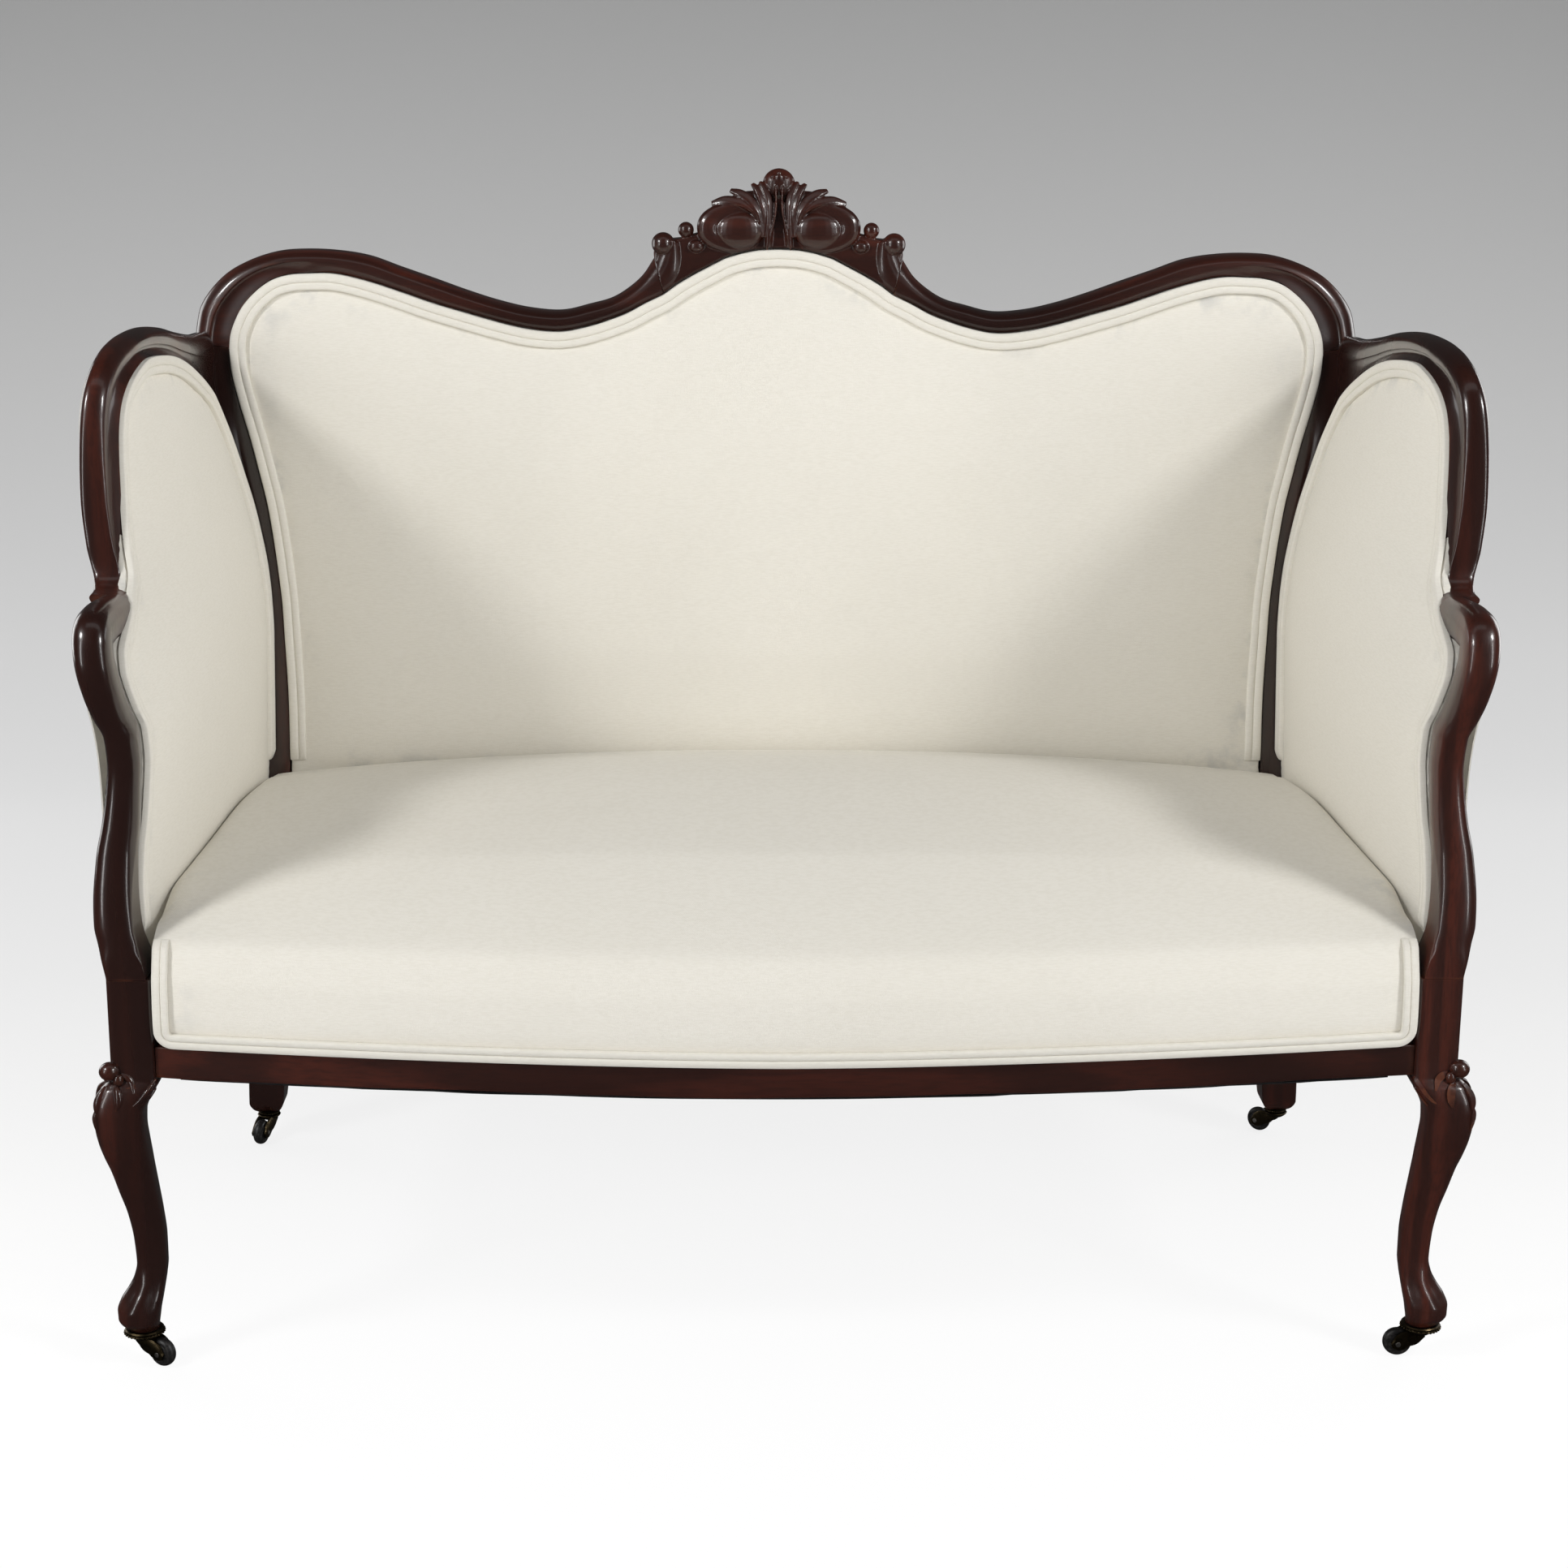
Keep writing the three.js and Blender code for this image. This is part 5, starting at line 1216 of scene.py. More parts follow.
def on_seat_front(x, z, h):
    """Place on the front of the seat, over its rolled edge above the apron."""
    over = np.clip(z - apron_high, 0, None)
    depth = np.interp((z - pad_floor) / seat_crown, seat_line_shares[:, 1], seat_line_shares[:, 0])
    nose = rail_front(x) + seat_nose + depth * (back_depth - rail_front(rail_half) - seat_nose)
    step = seat_nose - seat_face_swell * seat_face_shares[-1, 1]
    y = np.where(over > 0, nose - step * np.exp(-over / 3), seat_face(x, np.minimum(z, apron_high)))
    lean = np.clip(over / 16, 0, 1) * 0.9
    return np.stack([x, y - (seam + h) * np.cos(lean), z + h * np.sin(lean)], -1)


def make_seat_piping():
    """Piping up beside one leg block, along the bowed front and up the other side."""
    reach = rail_half - 2 * seam

    def edge(gap):
        x, low, corner = reach - gap, apron_low + gap, piping_corner - gap
        upright = np.column_stack([np.full(70, x), np.linspace(apron_high + 17, low + corner, 70)])
        angle = np.linspace(0, math.pi / 2, 14)[1:]
        turn = np.column_stack([x - corner * (1 - np.cos(angle)), low + corner * (1 - np.sin(angle))])
        along = np.linspace(reach - piping_corner, piping_corner - reach, 260)[1:-1]
        half = np.vstack([upright, turn])
        return np.vstack([half, np.column_stack([along, np.full(len(along), low)]), mirrored(half, -1)[::-1]])
    outer = edge(0)
    return loft(band(outer, edge(seat_piping_width), piping_sections(len(outer), 6), on_seat_front))


def cover_body(outline, place, near, bulge, thickness=1.3, pitch=14.0):
    """Cloth stretched over the outside of the frame, slightly domed."""
    line, points, faces = netted(outline, pitch)
    rise = bulge * np.minimum(1, pillow(points, line, step=9.0, turns=700) * 1.15) ** 1.2
    return layered(*(place(points[:, 0], points[:, 1], out + rise) for out in (near, near + thickness)), faces)


def outside_back():
    outline = back_outline()
    upper = inset_ring(outline, -cover_lap)[kept_run(outline[:, 1] > rake_height + 6)]
    levels = np.array([[post_inner_at(z) + cover_lap, z] for z in (rail_top, rail_bottom + show_wood)])
    line = np.vstack([upper, mirrored(levels, -1), levels[::-1]])
    return cover_body(line, on_back, back_frame_thickness + 2 * seam, 4)


def outside_side(side):
    """Cover from the arm and the wing to the post, drawn straight over the hollow above the arm's swell."""
    low, swell_z, upper_z = rail_bottom + show_wood, cover_swell_share * overall_height, arm_top + 30
    wing_outer = spline(wing_line[:, :2], 170)
    edge = np.vstack([wing_outer, [[back_depth, low], [half_block, low]]])
    wing, good = offset_line(anticlockwise(edge)[::-1], -cover_lap - 1)
    wing = wing[:170][good[:170]]
    wing = wing[wing[:, 1] > arm_top + 6]
    front = arm_inner_edge()[1:] + [cover_lap * math.sqrt(0.5), -seam]
    front = front[front[:, 0] < wing[0, 0]]
    levels = np.linspace(wing[-1, 1], low, 30)
    rear = np.column_stack([back_front(np.maximum(levels, rake_height)) - 2 * seam, levels])
    start = [[half_block + 2 * seam, low], [half_block + 2 * seam, leg_top]]

    def place(y, z, out):
        ruled = np.interp(z, [swell_z, upper_z], [side_middle(0, swell_z), side_middle(0, upper_z)])
        hollow = np.clip(ruled - side_middle(0, z), 0, None) * (z > swell_z)
        taut = cover_tautness * hollow * (1 - y / back_depth) * smoothstep(y, 20, 34)
        return np.stack([side * (side_middle(y, z) + taut + out), y, z], -1)
    return cover_body(np.vstack([start, front, wing, rear]), place, half_side + seam, 2.5)


def seat_plan(front_gap, end_gap, side_gap, rear_reach):
    """Outline in plan of a sheet over the seat frame."""
    x = np.linspace(-1, 1, 61) * (rail_half - end_gap)
    front = np.column_stack([x, rail_front(x) + front_gap])
    start, end = half_block + end_gap, back_depth - end_gap
    side_x = [float(side_middle(y, rail_bottom)) + rail_thickness / 2 - side_gap for y in (start, end)]
    rear_x = float(post_inner_at(rail_top)) - end_gap
    right = np.array([[rail_half - end_gap, start], [side_x[0], start], [side_x[1], end], [rear_x, end],
                      [rear_x, back_depth + rear_reach]])
    return np.vstack([front, right, mirrored(right, -1)[::-1]])


def flat_sheet(outline, height, thickness, sag):
    line, points, faces = netted(outline, 16.0)
    rise = pillow(points, line, step=10.0, turns=600) ** 0.7
    wave = 0.35 * np.sin(points[:, 0] / 23) * np.sin(points[:, 1] / 31) * np.minimum(1, rise * 4)
    low = np.column_stack([points, height - sag * rise + wave])
    return layered(low + [0, 0, thickness], low, faces)


def make_webbing(width=50, pitch=120, lap=16, first_row=165, row_pitch=90, rows=3, strip_half=0.42):
    """Woven webbing under the springs: strips that pass over and under each other."""
    half = width / 2
    columns = int((rail_half - pitch) // pitch)
    places = [c * pitch for c in range(-columns, columns + 1)]
    lines = [first_row + r * row_pitch for r in range(rows)]
    middle = webbing_top - webbing_thickness / 2 - 0.1

    def strip(start, end, centre, phase, crossed, order):
        run = np.linspace(start, end, 120)
        lift = sum((1 if (k + phase) % 2 else -1) * np.exp(-((run - c) / 32) ** 4) for k, c in enumerate(crossed))
        rings = []
        for spot, z in zip(run, middle + strip_half * lift):
            ring = np.column_stack([centre + np.array([-half, -half, half, half]), np.full(4, spot),
                                    z + strip_half * np.array([-1, 1, 1, -1])])
            rings.append(ring[:, order])
        return loft(rings)
    bodies = []
    for k, x in enumerate(places):
        front, rear = rail_front(x) + rail_thickness - lap, back_depth + 4 + lap
        bodies.append(strip(front, rear, x, k, lines, [0, 1, 2]))
    for k, y in enumerate(lines):
        reach = float(side_middle(y + half, rail_bottom)) - rail_thickness / 2 + lap
        bodies.append(strip(-reach, reach, y, k + 1, places, [1, 0, 2]))
    return together(bodies)


# Castors
# Castor profiles in millimetres
# Plate from its underside up: how far inside its rim, height over its underside
plate_steps = [(1.8, 0), (0.6, 0.5), (0, 1.5), (0.7, 2.2), (0.9, 2.5), (0.4, 3.0), (0.3, 3.9)]
plate_top_inset = 1.4
stem_hole = 3.4
bead_radius = 1.2
bead_inset = 0.3
bead_height = 1.5
beads = 30
# Cup of the horn: radius, height under the plate
cup_steps = [(0, -5.2), (7.6, -5.2), (9.6, -3.8), (11.6, -1.8), (12.2, -0.8), (11.4, 0), (3.0, 0)]
stem_radius = 3.0
cheek_thickness = 3.0
cheek_drop = 0.6
# Section of a cheek: share of its half width, share of its thickness
cheek_section_shares = [(-1, 0), (-1, 0.6), (-0.7, 1), (0.7, 1), (1, 0.6), (1, 0)]
bridge_half = 5.2
bridge_depth = 3.4
# Wheel side: share of its radius, depth under its face; then the tread
pin_hole = 1.9
wheel_steps = [(0.52, 0), (0.60, 0.5), (0.66, 0.2)]
tread_share = 0.74
tread_face_share = 0.96
# Axle pin: radius, height over the cheek
pin_steps = [(0, 0.9), (2.0, 0.6), (2.4, 0.1), (1.5, 0)]


def turned(profile, columns=48, order=(0, 1, 2)):
    """Closed body turned from a profile of radius and height; order says which axis each of them takes."""
    profile = np.asarray(profile, float)
    rings = [np.column_stack([profile[:, 0] * math.cos(a), profile[:, 0] * math.sin(a), profile[:, 1]])[:, order]
             for a in np.arange(columns) / columns * 2 * math.pi]
    return loft(rings, looped=True)


def both_ends(steps):
    return steps + [(radius, -height) for radius, height in steps[::-1]]


def at_castor(body, place, turn):
    """Body in millimetres turned and moved to a place in the frame."""
    points, faces = body
    c, s = math.cos(turn), math.sin(turn)
    spun = np.column_stack([points[:, 0] * c - points[:, 1] * s, points[:, 0] * s + points[:, 1] * c, points[:, 2]])
    return spun + [place.x / MM, place.y / MM - depth_datum, 0], faces


def castor_plate(radius, bottom, top):
    """Turned plate with a beaded rim."""
    steps = [(radius - inset, bottom + rise) for inset, rise in plate_steps]
    plate = turned([(stem_hole, bottom), *steps, (radius - plate_top_inset, top), (stem_hole, top)])
    reach, radii = radius - bead_inset, (bead_radius, bead_radius, bead_radius)
    rim = [ball((reach * math.cos(a), reach * math.sin(a), bottom + bead_height), radii, 8, 6)
           for a in np.arange(beads) * 2 * math.pi / beads]
    return together([plate, *rim])


def castor_horn(bottom, top, middle, gap):
    """Cup with its stem, two cheeks that trail down to the axle and the bridge between them."""
    under, stem_end = bottom - seam, top - seam
    cup = [(radius, under + rise) for radius, rise in cup_steps]
    bodies = [turned([*cup, (stem_radius, stem_end), (0, stem_end)], 40)]
    high = under - cheek_drop
    rows = spline([(-3.0, high - 3.0, 2.4), (1.5, high - 4.4, 5.0), (7.0, high - 6.8, 7.0),
                   (13.0, (high + middle) / 2 - 1.6, 7.4), (castor_trail, middle, 6.6),
                   (castor_trail + 5.4, middle - 1.9, 2.6)], 26)
    for way in (1, -1):
        rings = []
        for k, (reach, z, half) in enumerate(rows):
            step = rows[min(k + 1, len(rows) - 1)] - rows[max(k - 1, 0)]
            across = np.array([-step[1], step[0]]) / math.hypot(step[0], step[1]) * half
            rings.append([(reach + across[0] * a, (gap + cheek_thickness * b) * way, z + across[1] * a)
                          for a, b in cheek_section_shares])
        bodies.append(loft(rings))
    bridge = rounded([(-bridge_half, high - bridge_depth, 1, 1), (bridge_half, high - bridge_depth, 1, 1),
                      (bridge_half, high, 1, 1), (-bridge_half, high, 1, 1)], 3)
    outer = gap + cheek_thickness
    bodies.append(loft([np.column_stack([bridge[:, 0], np.full(len(bridge), y), bridge[:, 1]])
                        for y in (-outer, outer)]))
    return together(bodies)


def castor_wheel(radius):
    half = wheel_thickness / 2
    side = [(pin_hole, half), *[(radius * share, half - depth) for share, depth in wheel_steps]]
    side += [(radius * (tread_share + (1 - tread_share) * math.sin(a)), half * tread_face_share * math.cos(a))
             for a in np.linspace(0.2, math.pi / 2, 8)]
    return turned(both_ends(side), 64, (0, 2, 1))


def make_castor(corner, finishes):
    """Plate, horn, wheel and pin of one castor, each on its own body."""
    low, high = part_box(f"castor_plate_{corner}")
    stem, radius = (low + high) / 2, (high.x - low.x) / 2 / MM
    bottom, top = low.z / MM, high.z / MM
    low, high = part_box(f"castor_wheel_{corner}")
    wheel = (low + high) / 2
    middle, turn, gap = wheel.z / MM, math.radians(castor_angles[corner]), wheel_thickness / 2 + running_gap
    outer = gap + cheek_thickness
    pin = turned(both_ends([(radius, outer + rise) for radius, rise in pin_steps]), 24, (0, 2, 1))
    pieces = (
        ("collar", castor_plate(radius, bottom, top), stem, 0, 0, "brass", "plate", "castor_brass", "settee"),
        ("fork", castor_horn(bottom, top, middle, gap), stem, 0, turn, "brass", "horn", "castor_brass", "fork"),
        ("tyre", castor_wheel(middle), wheel, middle, turn, "wheel", "wheel", "castor_wheel", "wheel"),
        ("pin", pin, wheel, middle, turn, "steel", "axle", "spring_steel", "wheel"),
    )
    for label, (points, faces), place, lift, way, finish, node, slot, body in pieces:
        shape = at_castor((points + [0, 0, lift], faces), place, way)
        piece = make_object(f"castor_{label}_{corner}", *shape, finishes[finish])
        settled(piece, f"castor_{node}_{corner}", slot, body if body == "settee" else f"{body}_{corner}")


# Node helpers
def give(tree, made, values):
    """Sets a node's inputs by name, or by number as i0, i1; a value may be plain or a socket to link."""
    for key, value in values.items():
        key = int(key[1:]) if key[0] == "i" and key[1:].isdigit() else key.replace("_", " ")
        if isinstance(value, bpy.types.NodeSocket):
            tree.links.new(value, made.inputs[key])
        else:
            made.inputs[key].default_value = value


def node(tree, kind, settings=None, **values):
    """Adds a shader node with its settings and inputs."""
    made = tree.nodes.new("ShaderNode" + kind)
    for key, value in (settings or {}).items():
        setattr(made, key, value)
    give(tree, made, values)
    return made


def use(tree, kept, **values):
    """Adds a shared node group with its inputs; returns what it puts out."""
    made = tree.nodes.new("ShaderNodeGroup")
    made.node_tree = kept
    give(tree, made, values)
    return made.outputs


def group(name, inputs, outputs):
    """Empty node group with named sockets; returns the tree and its two end nodes."""
    tree = bpy.data.node_groups.new(name, "ShaderNodeTree")
    for label, kind, value in inputs:
        socket = tree.interface.new_socket(label, in_out="INPUT", socket_type="NodeSocket" + kind)
        if value is not None:
            socket.default_value = value
    for label, kind in outputs:
        tree.interface.new_socket(label, in_out="OUTPUT", socket_type="NodeSocket" + kind)
    return tree, tree.nodes.new("NodeGroupInput").outputs, tree.nodes.new("NodeGroupOutput").inputs


def put_out(tree, end, *results):
    for k, result in enumerate(results):
        tree.links.new(result, end[k])
    return tree


def math_node(tree, operation, a, b=0.5):
    return node(tree, "Math", {"operation": operation}, i0=a, i1=b).outputs[0]


def times(tree, a, b):
    return math_node(tree, "MULTIPLY", a, b)


def ranged(tree, value, low, high, to_low=0.0, to_high=1.0):
    """Value brought from one range to another along a smooth step."""
    return node(tree, "MapRange", {"interpolation_type": "SMOOTHSTEP"}, Value=value, From_Min=low, From_Max=high,
                To_Min=to_low, To_Max=to_high).outputs[0]


def blend(tree, factor, a, b, kind="MIX"):
    """Mix of two colours, each plain or a socket."""
    a, b = (c if isinstance(c, bpy.types.NodeSocket) else (*c, 1) for c in (a, b))
    settings = {"data_type": "RGBA", "blend_type": kind, "clamp_result": True}
    return node(tree, "Mix", settings, i0=factor, i6=a, i7=b).outputs[2]


def noise(tree, vector, scale, detail=3.0, rough=0.5):
    return node(tree, "TexNoise", None, Vector=vector, Scale=scale, Detail=detail, Roughness=rough).outputs[0]


def raised(tree, height, strength, distance):
    return node(tree, "Bump", None, Strength=strength, Distance=distance, Height=height).outputs[0]


# Node groups shared by the materials
def grain_group():
    tree, start, end = group("wood_grain", [
        ("Along the grain", "Vector", None), ("Pale", "Color", (0.1, 0.03, 0.015, 1)),
        ("Deep", "Color", (0.02, 0.007, 0.005, 1))], [("Colour", "Color"), ("Height", "Float"), ("Gloss", "Float")])
    wide = noise(tree, start[0], 9.0, 2.0)
    bands = node(tree, "TexWave", {"wave_type": "BANDS", "bands_direction": "X"}, Vector=start[0], Scale=14.0,
                 Distortion=7.0, Detail=3.0, Detail_Scale=1.4).outputs[1]
    pores = noise(tree, start[0], 420.0, 3.0, 0.6)
    figure = times(tree, ranged(tree, wide, 0.34, 0.68), ranged(tree, bands, 0.1, 0.95, 0.35, 1.0))
    share = times(tree, figure, ranged(tree, pores, 0.3, 0.6, 0.55, 1.0))
    return put_out(tree, end, blend(tree, share, start[2], start[1]), ranged(tree, pores, 0.42, 0.62),
                   ranged(tree, wide, 0.3, 0.75))


def wear_and_shade_group():
    tree, start, end = group("wear", [("Place", "Vector", None), ("Reach", "Float", 0.01)],
                             [("Edges", "Float"), ("Hollows", "Float")])
    sharp = node(tree, "NewGeometry").outputs["Pointiness"]
    patch = noise(tree, start[0], 38.0, 4.0, 0.6)
    # Ambient occlusion darkens the hollows where shade falls: painted shade on the wood and wheels, patina on the
    # metal
    shut = node(tree, "AmbientOcclusion", {"samples": 6}, Distance=start[1]).outputs["AO"]
    return put_out(tree, end, times(tree, ranged(tree, sharp, 0.515, 0.60), ranged(tree, patch, 0.42, 0.62)),
                   times(tree, ranged(tree, shut, 0.85, 0.25), ranged(tree, patch, 0.1, 0.6, 0.7, 1.0)))


def weave_group():
    tree, start, end = group("weave", [("Place", "Vector", None), ("Pitch", "Float", 0.0016)],
                             [("Height", "Float"), ("Slub", "Float")])
    split = node(tree, "SeparateXYZ", None, Vector=start[0]).outputs
    normal = node(tree, "SeparateXYZ", None, Vector=node(tree, "NewGeometry").outputs["Normal"]).outputs
    turn = math_node(tree, "DIVIDE", 2 * math.pi, start[1])
    waves = [math_node(tree, "SINE", times(tree, split[k], turn)) for k in range(3)]
    total = None
    for a, b, c in ((0, 2, 1), (1, 2, 0), (0, 1, 2)):
        face = math_node(tree, "POWER", math_node(tree, "ABSOLUTE", normal[c]), 3.0)
        piece = times(tree, times(tree, waves[a], waves[b]), face)
        total = piece if total is None else math_node(tree, "ADD", total, piece)
    slub, level_slub = (
        noise(tree, node(tree, "Mapping", None, Vector=start[0], Scale=scale).outputs[0], 160.0, 2.0)
        for scale in ((1, 1, 6), (6, 6, 1)))
    slubs = math_node(tree, "ADD", times(tree, slub, 0.6), times(tree, level_slub, 0.6))
    threads = math_node(tree, "ADD", times(tree, total, 0.25), slubs)
    return put_out(tree, end, threads, ranged(tree, slub, 0.35, 0.7))


def marks_group():
    tree, start, end = group("marks", [("Place", "Vector", None), ("Near edge", "Float", 1.0)],
                             [("Soil", "Float"), ("Cloud", "Float")])
    cloud = ranged(tree, noise(tree, start[0], 3.2, 4.0, 0.55), 0.38, 0.72)
    blotch = ranged(tree, noise(tree, start[0], 24.0, 5.0, 0.6), 0.5, 0.72)
    # Edge grey: blotches of grey where the near-edge value falls towards a panel's edge
    return put_out(tree, end, times(tree, ranged(tree, start[1], 0.42, 0.05), blotch), cloud)


# Materials
# Reach of the ambient occlusion that paints shade into hollows
occlusion_reach = 0.004
grain_stretch = 0.07


def fresh(name):
    """New material with its Principled shader and a place for coordinates."""
    material = bpy.data.materials.new(name)
    material.use_nodes = True
    tree = material.node_tree
    place = tree.nodes.new("ShaderNodeTexCoord").outputs["Object"]
    return material, tree, tree.nodes["Principled BSDF"], place


def wood(name, groups, along, pale, deep, raw=False):
    """Wood with its grain along an axis, French polished or raw."""
    _, tree, shader, place = fresh(name)
    squeeze = [grain_stretch if axis == along else 1 for axis in "xyz"]
    turned_to = (0, 0, math.pi / 2 if along == "x" else 0)
    stretched_place = node(tree, "Mapping", None, Vector=place, Scale=squeeze, Rotation=turned_to).outputs[0]
    grain = use(tree, groups["grain"], Along_the_grain=stretched_place, Pale=(*pale, 1), Deep=(*deep, 1))
    wear = use(tree, groups["wear"], Place=place, Reach=occlusion_reach)
    # Painted shade: the hollows that ambient occlusion finds darken towards near black
    colour = blend(tree, times(tree, wear[1], 0.5), grain[0], (0.006, 0.0035, 0.003))
    worn = blend(tree, times(tree, wear[0], 0.55), colour, (0.16, 0.045, 0.016))
    rough = 0.75
    coat = 0.0
    if not raw:
        rough = math_node(tree, "ADD", ranged(tree, grain[2], 0, 1, 0.27, 0.36), times(tree, wear[1], 0.2))
        coat = math_node(tree, "SUBTRACT", 0.62, times(tree, wear[1], 0.4))
    give(tree, shader, {"Base Color": worn, "Roughness": rough, "Coat Weight": coat, "Coat Roughness": 0.11,
                        "Normal": raised(tree, grain[1], 0.12, 0.0002)})


def upholstery_cloth(name, groups, colour, marks=1.0, pitch=0.0016):
    """Plain woven ivory cloth, greyer in blotches towards its edges."""
    _, tree, shader, place = fresh(name)
    near = node(tree, "Attribute", {"attribute_name": "from_edge"}).outputs["Fac"]
    weave = use(tree, groups["weave"], Place=place, Pitch=pitch)
    mark = use(tree, groups["marks"], Place=place, Near_edge=near)
    dull = [c * s for c, s in zip(colour, (0.93, 0.925, 0.91))]
    clouded = blend(tree, times(tree, mark[1], 0.35), colour, dull)
    edge_greyed = blend(tree, times(tree, mark[0], 0.45 * marks), clouded, (0.42, 0.43, 0.44))
    thread = blend(tree, times(tree, weave[1], 0.10), edge_greyed, (0.62, 0.58, 0.48), "MULTIPLY")
    give(tree, shader, {"Base Color": thread, "Roughness": 0.93, "Specular IOR Level": 0.18,
                        "Sheen Weight": 0.12, "Sheen Roughness": 0.5,
                        "Normal": raised(tree, weave[0], 0.35, 0.0005)})


def plain_cloth(name, groups, pale, deep, pitch):
    """Coarse utility cloth: jute webbing, hessian or lining."""
    _, tree, shader, place = fresh(name)
    weave = use(tree, groups["weave"], Place=place, Pitch=pitch)
    colour = blend(tree, ranged(tree, noise(tree, place, 60.0, 5.0), 0.35, 0.65), deep, pale)
    threads = blend(tree, times(tree, weave[1], 0.5), colour, deep)
    give(tree, shader, {"Base Color": threads, "Roughness": 0.95, "Normal": raised(tree, weave[0], 0.6, 0.0008)})


def aged_metal(name, groups, bright, dark, rough):
    """Metal that is bright on its edges and dark with age in its hollows."""
    _, tree, shader, place = fresh(name)
    wear = use(tree, groups["wear"], Place=place, Reach=occlusion_reach)
    patch = ranged(tree, noise(tree, place, 140.0, 5.0, 0.65), 0.36, 0.66)
    edge = [min(1, c * 1.9) for c in bright]
    edged = blend(tree, times(tree, wear[0], 0.8), blend(tree, patch, dark, bright), edge)
    aged = blend(tree, times(tree, wear[1], 0.85), edged, [c * 0.25 for c in dark])
    give(tree, shader, {"Base Color": aged, "Roughness": ranged(tree, patch, 0, 1, rough + 0.2, rough),
                        "Metallic": 1.0})


def wheel_composition(name, groups, colour):
    """Dark glossy composition of old castor wheels, scuffed where it rolls."""
    _, tree, shader, place = fresh(name)
    scuff = ranged(tree, noise(tree, place, 260.0, 6.0, 0.65), 0.45, 0.7)
    wear = use(tree, groups["wear"], Place=place, Reach=occlusion_reach)
    mixed = blend(tree, times(tree, scuff, 0.5), colour, (0.05, 0.043, 0.038))
    # Painted shade: the wheel turns near black in the hollows that ambient occlusion finds
    give(tree, shader, {"Base Color": blend(tree, wear[1], mixed, (0.004, 0.004, 0.004)),
                        "Roughness": ranged(tree, scuff, 0, 1, 0.42, 0.66)})


def painted_sweep(name, stops, hold, mirrored):
    """Studio paper that glows for the camera with painted light, its tone fading from the floor to the wall, and
    takes a soft shadow.
    """
    material, tree, shader, _ = fresh(name)
    run = node(tree, "Attribute", {"attribute_name": "run"}).outputs["Fac"]
    ramp = node(tree, "ValToRGB", None, Fac=run)
    band = ramp.color_ramp
    for k, (spot, tone) in enumerate(stops):
        stop = band.elements[k] if k < 2 else band.elements.new(spot)
        stop.position = spot
        stop.color = (tone, tone, tone, 1)
    glow = node(tree, "Emission", None, Color=ramp.outputs[0], Strength=paper_reach)
    give(tree, shader, {"Roughness": 0.9, "Specular IOR Level": 0.0, "Base Color": (0.82, 0.82, 0.82, 1)})
    path = node(tree, "LightPath").outputs
    seen = times(tree, path["Is Camera Ray"], 1 - hold)
    mixed = node(tree, "MixShader", None, i0=seen, i1=shader.outputs[0], i2=glow.outputs[0])
    # For glossy rays the paper shows only a dim painted glow
    dim = node(tree, "Emission", None, Color=(1.0, 1.0, 1.0, 1), Strength=mirrored)
    shown = node(tree, "MixShader", None, i0=path["Is Glossy Ray"], i1=mixed.outputs[0], i2=dim.outputs[0])
    tree.links.new(shown.outputs[0], tree.nodes["Material Output"].inputs["Surface"])
    return material


# Studio, in metres
picture_pixels = 1932
focal_pixels = 3536.5
sensor_width = 36
paper_front = -6.0
paper_near = -2.0
paper_wall = 2.6
paper_turn = 0.9
paper_height = 5.0
paper_half_width = 9.0
# How far below the picture, as a share of its height, the paper's tone is still followed
picture_margin = 1.15
# Brightest light of the studio paper
paper_reach = 1.15
# Painted glow of the studio paper: share of the picture's height from its top, tone as shown on screen
paper_tones = [(0.0, 0.632), (0.104, 0.686), (0.207, 0.737), (0.31, 0.784), (0.414, 0.827), (0.518, 0.875),
               (0.621, 0.914), (0.725, 0.953), (0.776, 0.973), (0.828, 0.988), (0.93, 0.994), (1.0, 0.994)]
# Light that the lamps put on the paper: shares of the picture's height, values there
paper_lit = ((0.3, 0.75), (0.95, 0.5))
# Lamps: name, place, width and height, and the setting that holds the power
lamp_table = [
    (f"{name}_{label}", (side * x, y, z), size, setting)
    for label, (x, y, z), size, setting in (
        ("rear_lamp", (2.2, 1.35, 0.9), (1.1, 1.5), "rear_power"),
        ("lamp", (2.3, -1.5, 2.5), (0.5, 0.5), "side_power"),
        ("strip", (2.3, -1.9, 1.1), (0.3, 1.7), "strip_power"))
    for name, side in SIDES.items()
] + [("top_lamp", (0, -0.6, 3.0), (2.6, 0.6), "top_power")]
lamp_aim = Vector((0, 0.1, 0.5))


def camera_matrix(place, pitch, yaw, roll):
    forward = Vector((math.sin(yaw) * math.cos(pitch), math.cos(yaw) * math.cos(pitch), -math.sin(pitch)))
    level = Vector((math.cos(yaw), -math.sin(yaw), 0))
    upright = level.cross(forward)
    across = math.cos(roll) * level + math.sin(roll) * upright
    up = -math.sin(roll) * level + math.cos(roll) * upright
    return Matrix.Translation(place) @ Matrix((across, up, -forward)).transposed().to_4x4()


def on_screen(tone):
    """Light value of a tone as shown on screen."""
    return tone / 12.92 if tone <= 0.04045 else ((tone + 0.055) / 1.055) ** 2.4


